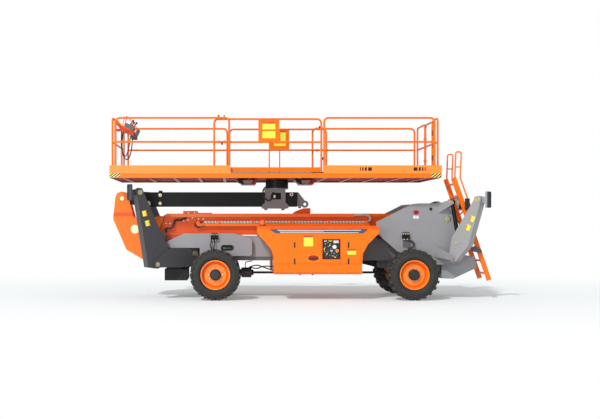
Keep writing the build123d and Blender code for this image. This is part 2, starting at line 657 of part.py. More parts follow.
HINGE_Y = COWL_INNER_Y + 16
HINGE_Z = COWL_TOP - 40
HINGE_PIN = 9
POST_XS = (-560, 1130)
HOOD_OUTLINE = [(COWL_LEFT, COWL_TOP), (COWL_RIGHT, COWL_TOP), (COWL_RIGHT, 1409), (1345, 1183),
                (1235, 983), (1222, COWL_SEAM + 6), (-626, COWL_SEAM + 6), (-632, 935), (-685, 1081),
                (-816, 1242), (-962, 1388)]
WINDOW_LEFT, WINDOW_RIGHT, WINDOW_LOW, WINDOW_HIGH = 393, 760, 870, 1283


def side_tray():
    """The near tray: a floor, its orange edge and the two posts of the hood's hinge."""
    tray = block(-618, 1220, -COWL_FACE_Y, -RAIL_OUTER_Y, COWL_BOTTOM, COWL_SEAM)
    tray -= block(-606, 1208, -COWL_FACE_Y + 12, -RAIL_OUTER_Y - 12, COWL_BOTTOM - 1, COWL_SEAM - 12)
    for x in POST_XS:
        tray += block(x - 20, x + 20, -RAIL_OUTER_Y - 56, -RAIL_OUTER_Y, COWL_SEAM - 12, FRAME_TOP)
        tray += block(x - 20, x + 20, -HINGE_Y - 20, -HINGE_Y + 10, FRAME_TOP - 5, HINGE_Z + HINGE_PIN)
        tray += bar((x, -HINGE_Y, HINGE_Z), (x + 60, -HINGE_Y, HINGE_Z), HINGE_PIN)
    return tray


def upper_band(inset):
    """What the bevelled upper band takes off a hood's outer face, moved inwards by an inset."""
    face = -COWL_FACE_Y + inset
    low = BEVEL_LOW + inset * BEVEL_IN / (BEVEL_HIGH - BEVEL_LOW)
    section = make_face(Polyline((face, low), (face + BEVEL_IN, BEVEL_HIGH), (face + BEVEL_IN, COWL_TOP + 20),
                                 (face - 60, COWL_TOP + 20), (face - 60, low), close=True))
    return Pos(COWL_LEFT - 20, 0, 0) * extrude(Plane.YZ * section, COWL_RIGHT - COWL_LEFT + 40)


def hood(window):
    """One hood: a thin shell, open below and towards the middle, with its hinge ears."""
    outer = plate(HOOD_OUTLINE, -COWL_FACE_Y, -COWL_INNER_Y)
    inner = [(COWL_LEFT + 14, COWL_TOP - COWL_SHEET), (COWL_RIGHT - 14, COWL_TOP - COWL_SHEET),
             (COWL_RIGHT - 12, 1414), (1333, 1187), (1223, 985), (1210, COWL_SEAM - 20),
             (-614, COWL_SEAM - 20), (-620, 937), (-674, 1085), (-806, 1249), (-950, 1393)]
    shell = outer - upper_band(0) - (plate(inner, -COWL_FACE_Y + COWL_SHEET, -COWL_INNER_Y + 1)
                                     - upper_band(COWL_SHEET))
    if window:
        shell -= block(WINDOW_LEFT, WINDOW_RIGHT, -COWL_FACE_Y - 1, -COWL_FACE_Y + COWL_SHEET + 1,
                       WINDOW_LOW, WINDOW_HIGH)
    for x in POST_XS:
        ear = block(x + 30, x + 50, -HINGE_Y - 20, -HINGE_Y + 14, HINGE_Z - 18, COWL_TOP - 4)
        shell += ear - bar((x, -HINGE_Y, HINGE_Z), (x + 70, -HINGE_Y, HINGE_Z), HINGE_PIN + PIN_FIT)
    return shell


tray = side_tray()
save("side_trays", join([tray, twin(tray)]))
BEACON_X = -857
BEACON_RADIUS = 58
BEACON_BODY = 76
beacon = bar((BEACON_X, -COWL_FACE_Y + 90, COWL_TOP), (BEACON_X, -COWL_FACE_Y + 90, COWL_TOP + BEACON_BODY),
             BEACON_RADIUS)
beacon += Pos(BEACON_X, -COWL_FACE_Y + 90, COWL_TOP + BEACON_BODY) * Sphere(BEACON_RADIUS)
save("hood_near", hood(True))
save("hood_far", twin(hood(False)))
save("beacon", beacon)
controls = block(WINDOW_LEFT + 8, WINDOW_RIGHT - 8, -COWL_FACE_Y + 50, -COWL_FACE_Y + 300,
                 WINDOW_LOW + 8, WINDOW_HIGH - 8)
controls += block(500, 650, -COWL_FACE_Y + 120, -COWL_FACE_Y + 280, COWL_SEAM, WINDOW_LOW + 20)
save("ground_controls", controls)
save("engine_block", block(-300, 900, 500, 1040, COWL_SEAM, 1380))


# Main boom: three nested box sections; the last carries the head

def section_tube(left, right, half, low, high, wall):
    """A box tube along X."""
    return block(left, right, -half, half, low, high) - block(
        left - 1, right + 1, -half + wall, half - wall, low + wall, high - wall)


RIB_X = -2290
RIB_TOP = 1745
inset = BOOM_WALL + SECTION_GAP
base_tube = section_tube(BASE_LEFT - BASE_SLANT, BASE_RIGHT, BASE_HALF, BASE_BOTTOM, BASE_TOP, BOOM_WALL)
base_tube -= plate([(BASE_LEFT, BASE_TOP + 1), (BASE_LEFT - BASE_SLANT, BASE_BOTTOM - 1),
                    (BASE_LEFT - BASE_SLANT - 90, BASE_BOTTOM - 1), (BASE_LEFT - BASE_SLANT - 90, BASE_TOP + 1)],
                   -BASE_HALF - 1, BASE_HALF + 1)
for x, top in ((BASE_LEFT, BASE_TOP), (RIB_X, RIB_TOP)):
    low_x = x - BASE_SLANT * (top - BASE_BOTTOM) / (BASE_TOP - BASE_BOTTOM)
    base_tube += pair([(x, top), (x + COLLAR_WIDTH, top), (low_x + COLLAR_WIDTH, BASE_BOTTOM),
                       (low_x, BASE_BOTTOM)], BASE_HALF - 1, BASE_HALF + COLLAR_SHEET)
base_tube += block(-2565, -2253, -BASE_HALF + 15, BASE_HALF - 15, BASE_TOP - 1, BASE_TOP + 60)
base_tube += block(-2253, -1937, -BASE_HALF + 15, BASE_HALF - 15, BASE_TOP - 1, BASE_TOP + 18)
tail = plate([(BASE_RIGHT - 40, BASE_BOTTOM), (BASE_RIGHT + 260, BASE_BOTTOM + 60), (PIVOT_X, PIVOT_Z - 122),
              (PIVOT_X, PIVOT_Z + 116), (BASE_RIGHT - 40, BASE_TOP)], -BASE_HALF, BASE_HALF)
tail += across(PIVOT_X, PIVOT_Z, -BASE_HALF, BASE_HALF, 122)
tail -= across(PIVOT_X, PIVOT_Z, -BASE_HALF - 1, BASE_HALF + 1, PIVOT_PIN_RADIUS + PIN_FIT)
base_tube += tail
eye_lug = [(LIFT_EYE_X - 220, BASE_BOTTOM), (LIFT_EYE_X - 90, LIFT_EYE_Z - 80), (LIFT_EYE_X + 90, LIFT_EYE_Z - 80),
           (LIFT_EYE_X + 220, BASE_BOTTOM)]
base_tube += pair(eye_lug, LUG_INNER, LUG_OUTER)

base_tube += block(BASE_LEFT, BASE_LEFT + 120, -BASE_HALF + 60, BASE_HALF - 60, BASE_BOTTOM + BOOM_WALL - 1,
                   BASE_BOTTOM + BOOM_WALL + SECTION_GAP - PIN_FIT)
base_tube += plate([(-146, BASE_TOP - 1), (-146, 1848), (-92, 1885), (74, 1948), (228, 1954),
                    (228, BASE_TOP - 1)], -90, 90)
save("boom_base", base_tube)

mid_half = BASE_HALF - inset
mid_low = BASE_BOTTOM + inset
mid_high = BASE_TOP - inset
mid_tube = section_tube(MID_LEFT, MID_RIGHT, mid_half, mid_low, mid_high, BOOM_WALL)
mid_tube += block(MID_LEFT, MID_LEFT + 120, -mid_half + 60, mid_half - 60, mid_low + BOOM_WALL - 1,
                  mid_low + BOOM_WALL + SECTION_GAP - PIN_FIT)
save("boom_mid", mid_tube)

fly_half = mid_half - inset
fly_low = mid_low + inset
fly_high = mid_high - inset
fly_tube = section_tube(FLY_LEFT, FLY_RIGHT, fly_half, fly_low, fly_high, BOOM_WALL)
head_outline = [(JIB_PIVOT_X - 12, 2315), (JIB_PIVOT_X + 90, 2290), (JIB_PIVOT_X + 140, 2180),
                (-3640, 1748), (-2985, 1748), (-3130, BASE_BOTTOM), (-3060, 1249), (-3390, 797),
                (-3803, 1044), (-4090, 1701), (-4090, 1764), (JIB_PIVOT_X - 150, 2179), (JIB_PIVOT_X - 110, 2280)]
head = pair(head_outline, HEAD_HALF - HEAD_PLATE, HEAD_HALF)
for y0, y1 in ((-HEAD_HALF, -JIB_HALF - SIDE_GAP), (JIB_HALF + SIDE_GAP, HEAD_HALF)):
    head += across(JIB_PIVOT_X, JIB_PIVOT_Z, y0, y1, 80)
head += across(JIB_PIVOT_X, JIB_PIVOT_Z, -HEAD_HALF - 20, HEAD_HALF + 20, JIB_PIN_RADIUS)
head += across(-3610, 1487, -HEAD_HALF - 8, HEAD_HALF + 8, 100)
for y0, y1 in ((-HEAD_HALF + 1, -fly_half + 1), (fly_half - 1, HEAD_HALF - 1)):
    head += block(FLY_LEFT, FLY_LEFT + 40, y0, y1, fly_low + 20, fly_high - 20)
head += block(-3560, -3480, -HEAD_HALF + 5, HEAD_HALF - 5, 960, 1040)
for y0, y1 in ((-HEAD_HALF + 5, -JIB_BARREL_RADIUS - SIDE_GAP), (JIB_BARREL_RADIUS + SIDE_GAP, HEAD_HALF - 5)):
    head += across(JIB_FOOT_X, JIB_FOOT_Z, y0, y1, 60)
head += across(JIB_FOOT_X, JIB_FOOT_Z, -HEAD_HALF - 6, HEAD_HALF + 6, 35)
save("boom_fly", join([fly_tube, head]))

tray_body = block(-2240, 1507, -BASE_HALF - 84, -BASE_HALF, 1556, 1570)
tray_body += bar((-2240, -BASE_HALF - 50, 1592), (1507, -BASE_HALF - 50, 1592), 26)
tray_body += bar((-2113, -BASE_HALF - 50, 1645), (1396, -BASE_HALF - 50, 1645), 27)
tray_body += block(-2820, 1164, -BASE_HALF - 60, -BASE_HALF, 1754, 1828)
save("hose_tray", tray_body)


# Cylinders of the main boom and the jib

lift_barrel, lift_rod = cylinder((LIFT_FOOT_X, LIFT_FOOT_Z), (LIFT_EYE_X, LIFT_EYE_Z), LIFT_BARREL_RADIUS,
                                 LIFT_ROD_RADIUS, LUG_INNER - 4, LIFT_PIN_RADIUS, 78, 190)
save("lift_barrel", lift_barrel)
save("lift_rod", lift_rod)
jib_barrel, jib_rod = cylinder((JIB_FOOT_X, JIB_FOOT_Z), (JIB_EYE_X, JIB_EYE_Z), JIB_BARREL_RADIUS,
                               JIB_ROD_RADIUS, JIB_BARREL_RADIUS - 1, 35, 55, 100)
save("jib_barrel", jib_barrel)
save("jib_rod", jib_rod)


# Jib: the black beam that comes back over the boom, its nose and the bracket of the platform

jib = plate([(JIB_RIGHT, JIB_BOTTOM), (JIB_RIGHT, JIB_TOP), (-3560, JIB_TOP), (JIB_PIVOT_X, JIB_PIVOT_Z + 80),
             (JIB_PIVOT_X, JIB_PIVOT_Z - 80), (-3500, JIB_BOTTOM)], -JIB_HALF, JIB_HALF)
jib += across(JIB_PIVOT_X, JIB_PIVOT_Z, -JIB_HALF, JIB_HALF, 80)
jib -= across(JIB_PIVOT_X, JIB_PIVOT_Z, -JIB_HALF - 1, JIB_HALF + 1, JIB_PIN_RADIUS + PIN_FIT)
jib -= block(-3640, -3190, -JIB_BARREL_RADIUS - 6, JIB_BARREL_RADIUS + 6, JIB_BOTTOM - 200, 2180)
save("jib", jib)

nose = plate([(JIB_RIGHT, JIB_BOTTOM + 10), (JIB_RIGHT, JIB_TOP), (-39, JIB_TOP), (102, 2124),
              (60, 2000), (30, JIB_BOTTOM + 10)], -NOSE_HALF, NOSE_HALF)
nose += across(NOSE_EYE_X, NOSE_EYE_Z, -NOSE_HALF + 30, NOSE_HALF - 30, NOSE_EYE_OUTER)
nose -= across(NOSE_EYE_X, NOSE_EYE_Z, -JIB_HALF, JIB_HALF, NOSE_EYE_BORE)
nose += across(-4, JIB_BOTTOM - 6, -NOSE_HALF + 25, NOSE_HALF - 25, 30)
save("jib_nose", nose)

BRACKET_LEFT, BRACKET_RIGHT = -776, -324
BRACKET_LOW = 1944
bracket_side = plate([(BRACKET_LEFT, JIB_TOP), (BRACKET_RIGHT, JIB_TOP), (BRACKET_RIGHT, 2070),
                      (BRACKET_RIGHT + 62, 2020), (BRACKET_RIGHT + 66, BRACKET_LOW + 10),
                      (BRACKET_RIGHT + 40, BRACKET_LOW), (BRACKET_LEFT - 40, BRACKET_LOW),
                      (BRACKET_LEFT - 60, BRACKET_LOW + 10), (BRACKET_LEFT - 58, 2020), (BRACKET_LEFT, 2070)],
                     JIB_HALF, JIB_HALF + 40)
for x in (BRACKET_LEFT + 28, BRACKET_RIGHT - 47):
    bracket_side += across(x, BRACKET_LOW - 6, JIB_HALF, JIB_HALF + 40, 34)
bracket = bracket_side + twin(bracket_side)
bracket -= block(-598, -424, -300, 300, 2141, 2289)
bracket += block(BRACKET_LEFT, BRACKET_RIGHT, -JIB_HALF - 40, JIB_HALF + 40, JIB_TOP, 2378)
bracket += block(BRACKET_LEFT, BRACKET_RIGHT, -JIB_HALF - 40, JIB_HALF + 40, BRACKET_LOW, JIB_BOTTOM)
bracket += bar((ROTATOR_X, 0, 2370), (ROTATOR_X, 0, ROTATOR_BOTTOM - PIN_FIT), ROTATOR_RADIUS)
bracket += bar((ROTATOR_X, 0, 2370), (ROTATOR_X, 0, ROTATOR_BOTTOM + 90), 110)
save("jib_bracket", bracket)

rotator = bar((ROTATOR_X, 0, ROTATOR_BOTTOM), (ROTATOR_X, 0, DECK_BEAM_BOTTOM), ROTATOR_RADIUS)
rotator -= bar((ROTATOR_X, 0, ROTATOR_BOTTOM - 1), (ROTATOR_X, 0, ROTATOR_BOTTOM + 100), 110 + SPINDLE_FIT)
save("rotator", rotator)


# Platform: deck, rails, sliding side gates, end gate and the operator's console

DECK_MIDDLE = (DECK_LEFT + DECK_RIGHT) / 2
FASCIA_FOLD = 2662


def opposite(piece):
    """The same piece on the far side, turned half round about the platform's middle."""
    return Pos(DECK_MIDDLE, 0, 0) * Rot(0, 0, 180) * Pos(-DECK_MIDDLE, 0, 0) * piece


def deck():
    """The deck sheet, its four edges and the beams under it."""
    parts = [block(DECK_LEFT, DECK_RIGHT, -DECK_HALF, DECK_HALF, DECK_Z - DECK_SHEET, DECK_Z),
             block(DECK_LEFT + FLOOR_MARGIN, DECK_RIGHT - FLOOR_MARGIN, -FLOOR_HALF, FLOOR_HALF,
                   DECK_Z - 1, DECK_Z + FLOOR_PLATE)]
    edge = block(DECK_LEFT, DECK_RIGHT, -DECK_HALF, -DECK_HALF + FASCIA_SHEET, FASCIA_BOTTOM, FASCIA_TOP)
    edge -= block(OPENING_LEFT, OPENING_RIGHT, -DECK_HALF - 1, -DECK_HALF + FASCIA_SHEET + 1, DECK_Z, FASCIA_TOP + 1)
    parts += [edge, opposite(edge)]
    for x in (DECK_LEFT, DECK_RIGHT - FASCIA_SHEET):
        parts.append(block(x, x + FASCIA_SHEET, -DECK_HALF, DECK_HALF, FASCIA_BOTTOM, FASCIA_TOP))
    for y in (-620, -200, 200, 620):
        parts.append(block(DECK_LEFT + 5, DECK_RIGHT - 5, y - 40, y + 40, FASCIA_BOTTOM + 20, DECK_Z - 4))
    count = 13
    for number in range(count):
        x = DECK_LEFT + (number + 0.5) * (DECK_RIGHT - DECK_LEFT) / count
        parts.append(block(x - 30, x + 30, -DECK_HALF + 5, DECK_HALF - 5, DECK_BEAM_BOTTOM, DECK_Z - 4))
    for sign in (-1, 1):
        middle = ROTATOR_X + sign * 630
        parts.append(plate([(middle - 205, FASCIA_BOTTOM + 30), (middle - 205, FASCIA_BOTTOM - 10),
                            (middle - 150, FASCIA_BOTTOM - 105), (middle + 150, FASCIA_BOTTOM - 105),
                            (middle + 205, FASCIA_BOTTOM - 10), (middle + 205, FASCIA_BOTTOM + 30)],
                           -240, 240))
    return join(parts)


save("platform_deck", deck())

RAIL_Y = DECK_HALF - RAIL_INSET
RAIL_BEND = 90


def frame_along(x0, x1, y, top, middle, foot):
    """A bent frame of two posts and a top rail, with its middle rail."""
    hoop = tube([(x0, y, foot), (x0, y, top), (x1, y, top), (x1, y, foot)], RAIL_BEND)
    return hoop + bar((x0, y, middle), (x1, y, middle), TUBE_RADIUS)


def frame_across(x, y0, y1, top, middle, foot):
    """The same frame across the end of the platform."""
    hoop = tube([(x, y0, foot), (x, y0, top), (x, y1, top), (x, y1, foot)], RAIL_BEND)
    return hoop + bar((x, y0, middle), (x, y1, middle), TUBE_RADIUS)


PANEL_RIGHT_START = OPENING_RIGHT + 14
PANEL_RIGHT_END = 2733
side_rails = frame_along(PANEL_LEFT, PANEL_END, -RAIL_Y, RAIL_TOP_Z, RAIL_MID_Z, DECK_Z)
side_rails += frame_along(PANEL_RIGHT_START, PANEL_RIGHT_END, -RAIL_Y, RAIL_TOP_Z, RAIL_MID_Z, DECK_Z)
save("platform_rails", side_rails + opposite(side_rails))
end_rails = [frame_across(END_RAIL_LEFT, -RAIL_Y + 60, RAIL_Y - 60, RAIL_TOP_Z, RAIL_MID_Z, DECK_Z)]
for y in (-END_POST_Y, END_POST_Y):
    end_rails.append(bar((END_RAIL_LEFT, y, DECK_Z), (END_RAIL_LEFT, y, RAIL_TOP_Z), TUBE_RADIUS))
end_rails.append(frame_across(END_RAIL_RIGHT, -RAIL_Y + 60, END_GATE_NEAR - 30, RAIL_TOP_Z, RAIL_MID_Z, DECK_Z))
end_rails.append(frame_across(END_RAIL_RIGHT, END_GATE_FAR + 30, RAIL_Y - 60, RAIL_TOP_Z, RAIL_MID_Z, DECK_Z))
save("end_rails", join(end_rails))

GATE_TOP_Z = RAIL_TOP_Z - 20
GATE_Y = RAIL_Y - GATE_STEP


def side_gate():
    """The sliding gate, its toe board and the sleeves that run on the fixed rails."""
    gate = frame_along(GATE_LEFT, GATE_RIGHT, -GATE_Y, GATE_TOP_Z, RAIL_MID_Z, DECK_Z + 12)
    gate += block(GATE_LEFT, GATE_RIGHT, -GATE_Y - 4, -GATE_Y + 4, DECK_Z + 10, DECK_Z + 112)
    for x, z, gate_z in ((-1776, RAIL_TOP_Z, GATE_TOP_Z), (-1660, RAIL_TOP_Z, GATE_TOP_Z),
                         (-1776, RAIL_MID_Z, RAIL_MID_Z), (-1660, RAIL_MID_Z, RAIL_MID_Z)):
        sleeve = block(x - 18, x + 18, -RAIL_Y - TUBE_RADIUS - 8, -GATE_Y, z - TUBE_RADIUS - 8, z + TUBE_RADIUS + 8)
        gate += sleeve - bar((x - 30, -RAIL_Y, z), (x + 30, -RAIL_Y, z), TUBE_RADIUS + PIN_FIT)
    return gate


gate = side_gate()
save("side_gate_near", gate)
save("side_gate_far", opposite(gate))

HINGE_POST_Y = END_GATE_FAR + 30
end_gate = tube([(END_RAIL_RIGHT, END_GATE_FAR - 20, DECK_Z + 60), (END_RAIL_RIGHT, END_GATE_FAR - 20, GATE_TOP_Z),
                 (END_RAIL_RIGHT, END_GATE_NEAR + 20, GATE_TOP_Z), (END_RAIL_RIGHT, END_GATE_NEAR + 20, DECK_Z + 60)],
                RAIL_BEND)
for z in (DECK_Z + 80, RAIL_MID_Z):
    end_gate += bar((END_RAIL_RIGHT, END_GATE_FAR - 20, z), (END_RAIL_RIGHT, END_GATE_NEAR + 20, z), TUBE_RADIUS)
for z in (DECK_Z + 330, RAIL_TOP_Z - 330):
    ear = block(END_RAIL_RIGHT - 28, END_RAIL_RIGHT + 28, END_GATE_FAR - 20, HINGE_POST_Y + 28, z - 20, z + 20)
    end_gate += ear - bar((END_RAIL_RIGHT, HINGE_POST_Y, z - 30), (END_RAIL_RIGHT, HINGE_POST_Y, z + 30),
                          TUBE_RADIUS + PIN_FIT)
save("end_gate", end_gate)

CONSOLE_NEAR = -880
CONSOLE_FAR = -540
CONSOLE_SEAT = END_RAIL_LEFT + TUBE_RADIUS + PIN_FIT
console = plate([(-3841, 3700), (-3569, 3558), (-3586, 3471), (-3885, 3591)], CONSOLE_NEAR, CONSOLE_FAR)
console += block(CONSOLE_SEAT, -3840, -END_POST_Y - 40, -END_POST_Y + 40, 3590, 3640)
hook = [(CONSOLE_SEAT, RAIL_TOP_Z + 12), (CONSOLE_SEAT, RAIL_TOP_Z - 60), (-3870, 3620), (-3841, 3700),
        (-3950, RAIL_TOP_Z + 12)]
for y in (CONSOLE_NEAR, CONSOLE_FAR - 12):
    console += plate(hook, y, y + 12)
for y in (CONSOLE_NEAR + 10, CONSOLE_FAR - 10):
    console += tube([(-3815, y, 3690), (-3766, y, 3873), (-3701, y, 3873), (-3520, y, 3634), (-3575, y, 3540)],
                    30, 9)
save("console", console)
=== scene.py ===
# %% [markdown]
# # A telescopic boom lift with a long platform
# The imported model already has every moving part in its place. This lesson gives it its finish: paint,
# rubber, chrome and labels as node materials, and the small pieces that a frame of solids leaves out, such
# as nuts, hoses, clamps and the control panel. +X is the ladder end, -Y faces the camera, and all lengths
# are metres.

# %% Load the frame
from math import cos, pi, radians, sin

import bpy
from mathutils import Matrix, Vector


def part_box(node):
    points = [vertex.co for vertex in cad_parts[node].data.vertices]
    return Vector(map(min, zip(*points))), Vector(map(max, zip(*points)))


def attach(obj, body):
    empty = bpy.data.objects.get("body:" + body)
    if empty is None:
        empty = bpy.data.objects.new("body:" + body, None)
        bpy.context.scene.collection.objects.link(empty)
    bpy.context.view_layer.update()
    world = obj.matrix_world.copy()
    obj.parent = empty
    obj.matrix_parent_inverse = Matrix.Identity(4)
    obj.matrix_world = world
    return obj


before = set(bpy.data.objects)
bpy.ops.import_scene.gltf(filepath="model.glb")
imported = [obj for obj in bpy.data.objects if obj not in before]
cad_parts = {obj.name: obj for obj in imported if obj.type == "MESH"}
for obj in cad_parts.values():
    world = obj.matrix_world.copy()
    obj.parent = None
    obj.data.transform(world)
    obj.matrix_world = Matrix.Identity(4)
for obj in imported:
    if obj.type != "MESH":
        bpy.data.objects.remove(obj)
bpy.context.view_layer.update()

# %% [markdown]
# ## Camera
# The machine is seen straight from its side, from about twenty metres away and from chest height. The
# object isn't in the middle of the picture, so the lens is shifted instead of turned: upright edges stay
# upright.

# %% Camera
CAMERA_PLACE = (-1.545, -20.65, 1.605)
LENS = 56.1
SHIFT_X = 0.117
SHIFT_Y = 0.024

bpy.ops.object.select_all(action="DESELECT")
bpy.ops.object.camera_add(location=CAMERA_PLACE, rotation=(radians(90), 0, 0))
camera = bpy.context.object
camera.name = "camera"
camera.data.lens = LENS
camera.data.sensor_width = 36
camera.data.shift_x = SHIFT_X
camera.data.shift_y = SHIFT_Y
camera.data.clip_end = 200
bpy.context.scene.camera = camera
print("camera at", CAMERA_PLACE)

# %% [markdown]
# ## Shader maths as plain expressions
# A pattern is a little sum over the surface: a distance, a stripe, a mask. Typed as nodes it is hard to
# read, so a small class wraps a socket and lets Python's own operators add the Math nodes.


# %% A socket that takes part in sums
class Field:
    """One value of a shader, with the usual operators."""

    def __init__(self, finish, socket):
        self.finish = finish
        self.socket = socket

    def sum_with(self, operation, first, second=None):
        """One Math node on one or two values."""
        return self.finish.add("ShaderNodeMath", {"operation": operation}, {0: first, 1: second})

    def __add__(self, other):
        return self.sum_with("ADD", self, other)

    __radd__ = __add__

    def __sub__(self, other):
        return self.sum_with("SUBTRACT", self, other)

    def __rsub__(self, other):
        return self.sum_with("SUBTRACT", other, self)

    def __mul__(self, other):
        return self.sum_with("MULTIPLY", self, other)

    __rmul__ = __mul__

    def __truediv__(self, other):
        return self.sum_with("DIVIDE", self, other)

    def __gt__(self, other):
        return self.sum_with("GREATER_THAN", self, other)

    def __lt__(self, other):
        return self.sum_with("LESS_THAN", self, other)

    def wrap(self, span):
        """The rest after whole spans, always positive."""
        return self.sum_with("FLOORED_MODULO", self, span)

    def root(self):
        return self.sum_with("SQRT", self)

    def squared(self):
        return self.sum_with("MULTIPLY", self, self)

    def sine(self):
        return self.sum_with("SINE", self)

    def between(self, low, high):
        """One where the value lies between two limits, else nothing."""
        return (self > low) * (self < high)

    def clamp(self):
        """Held between 0 and 1."""
        return self.finish.add("ShaderNodeClamp", {}, {0: self})


class Finish:
    """A material whose nodes are added one line at a time."""

    def __init__(self, name, slot, colour, roughness=0.5, metallic=0.0, surface=None):
        self.slot = slot
        self.material = bpy.data.materials.new(name)
        self.material.use_nodes = True
        self.material.diffuse_color = (*colour, 1)
        self.tree = self.material.node_tree
        self.shader = self.tree.nodes["Principled BSDF"]
        self.set("Base Color", colour)
        self.set("Roughness", roughness)
        self.set("Metallic", metallic)
        for socket, value in (surface or {}).items():
            self.set(socket, value)
        self.place = self.add("ShaderNodeTexCoord", {}, {}, "Object")

    def link(self, value, socket):
        """Put a number, a colour or another node's output into a socket."""
        if isinstance(value, Field):
            self.tree.links.new(value.socket, socket)
        elif isinstance(value, (tuple, list)) and socket.type == "RGBA":
            socket.default_value = (*value[:3], 1)
        else:
            socket.default_value = value

    def set(self, name, value):
        """Feed one socket of the surface shader."""
        self.link(value, self.shader.inputs[name])

    def add(self, kind, settings, sockets, output=0):
        """Any node: its settings first, then what goes into its sockets."""
        node = self.tree.nodes.new(kind)
        for key, value in settings.items():
            setattr(node, key, value)
        for key, value in sockets.items():
            if value is not None:
                self.link(value, node.inputs[key])
        return Field(self, node.outputs[output])

    def axes(self):
        """The three coordinates of a point of the piece."""
        return [self.add("ShaderNodeSeparateXYZ", {}, {0: self.place}, axis) for axis in range(3)]

    def noise(self, scale, detail=3.0, place=None):
        return self.add("ShaderNodeTexNoise", {}, {"Vector": place or self.place, "Scale": scale,
                                                   "Detail": detail})

    def mix(self, factor, first, second):
        """One colour shading into another."""
        return self.add("ShaderNodeMix", {"data_type": "RGBA"}, {0: factor, 6: first, 7: second}, 2)

    def bump(self, height, distance, strength=1.0):
        self.set("Normal", self.add("ShaderNodeBump", {}, {
            "Strength": strength, "Distance": distance, "Height": height}))


def shade(colour, factor):
    """A colour made darker or lighter."""
    return tuple(min(1.0, part * factor) for part in colour)


# %% [markdown]
# ## Floor and light
# A catalogue picture has a white ground with one soft shadow. The floor is a plain matt sheet. Far from the
# machine it turns into plain white for the camera alone, so there is no horizon line and no extra light.

# %% Floor, world and lamps
WHITE = (1.0, 1.0, 1.0)
FLOOR_COLOUR = (0.89, 0.965, 0.99)
FLOOR_SIZE = 160
PLAIN_FROM, PLAIN_FADE = 3.0, 5.0
GLOW_AT_WHEELS = 0.18
SKY_COLOUR = (1.0, 0.99, 0.98)
SKY_STRENGTH = 0.52
LAMPS = (
    # name, kind, place, aim, energy, size
    ("key_sun", "SUN", (-7, -11, 13), (0, 0, 1), 2.10, radians(4)),
    ("front_fill", "AREA", (-7, -15, 2.2), (0, 0, 1.6), 800, 8),
)


def build_floor():
    """A large sheet under the wheels, white for the camera away from the machine."""
    bpy.ops.object.select_all(action="DESELECT")
    bpy.ops.mesh.primitive_plane_add(size=FLOOR_SIZE, location=(0, 40, 0))
    bpy.ops.object.transform_apply(location=True, rotation=True, scale=True)
    floor = bpy.context.object
    floor.name = "floor"
    finish = Finish("floor_sheet", None, FLOOR_COLOUR, 0.9)
    x, y, _ = finish.axes()
    away = (x.squared() * 0.3 + (y - 1).squared()).root()
    far = ((away - PLAIN_FROM) / PLAIN_FADE).clamp()
    ray = finish.add("ShaderNodeLightPath", {}, {}, "Is Camera Ray")
    glow = finish.add("ShaderNodeEmission", {}, {"Color": WHITE, "Strength": 1.0})
    plain = (far * (1 - GLOW_AT_WHEELS) + GLOW_AT_WHEELS) * ray
    both = finish.add("ShaderNodeMixShader", {}, {0: plain, 1: Field(finish, finish.shader.outputs[0]),
                                                  2: glow})
    output = finish.tree.nodes["Material Output"]
    finish.tree.links.new(both.socket, output.inputs["Surface"])
    floor.data.materials.append(finish.material)
    return floor


def build_world():
    """Even sky light, with plain white behind the machine for the camera."""
    world = bpy.data.worlds.new("sky")
    world.use_nodes = True
    nodes, links = world.node_tree.nodes, world.node_tree.links
    nodes.clear()
    light = nodes.new("ShaderNodeBackground")
    light.inputs["Color"].default_value = (*SKY_COLOUR, 1)
    light.inputs["Strength"].default_value = SKY_STRENGTH
    white = nodes.new("ShaderNodeBackground")
    white.inputs["Color"].default_value = (*WHITE, 1)
    path = nodes.new("ShaderNodeLightPath")
    mix = nodes.new("ShaderNodeMixShader")
    output = nodes.new("ShaderNodeOutputWorld")
    links.new(path.outputs["Is Camera Ray"], mix.inputs[0])
    links.new(light.outputs[0], mix.inputs[1])
    links.new(white.outputs[0], mix.inputs[2])
    links.new(mix.outputs[0], output.inputs[0])
    bpy.context.scene.world = world


def lamp(name, kind, place, aim, energy, size):
    """One lamp that looks from its place at a point."""
    bpy.ops.object.select_all(action="DESELECT")
    bpy.ops.object.light_add(type=kind, location=place)
    light = bpy.context.object
    light.name = name
    light.data.energy = energy
    light.rotation_euler = (Vector(aim) - Vector(place)).to_track_quat("-Z", "Y").to_euler()
    if kind == "SUN":
        light.data.angle = size
    else:
        light.data.size = size


floor = build_floor()
build_world()
for name, kind, place, aim, energy, size in LAMPS:
    lamp(name, kind, place, aim, energy, size)
bpy.context.scene.view_settings.view_transform = "Standard"
print("floor", tuple(floor.dimensions))

# %% [markdown]
# ## Paint
# Machine paint is never one flat colour: it is a little uneven, has a fine orange-peel skin, gathers dust
# low down and is duller where it is dusty. One function makes every paint from its colour and gloss.

# %% Painted steel
ORANGE = (0.94, 0.168, 0.004)
SHADE_ORANGE = (0.66, 0.075, 0.012)
GREY = (0.285, 0.280, 0.295)
CHARCOAL = (0.056, 0.055, 0.062)
DUST = (0.30, 0.25, 0.20)
DUST_AMOUNT = 0.18
SPRAYED = {"Specular IOR Level": 0.22, "Coat Weight": 0.06, "Coat Roughness": 0.12}
DULL_SPRAYED = {"Specular IOR Level": 0.12, "Coat Weight": 0.02, "Coat Roughness": 0.12}


def orange_peel(finish, scale=420.0):
    """The fine skin with which sprayed paint dries."""
    finish.bump(finish.noise(scale, 2.0), 0.0006, 0.5)


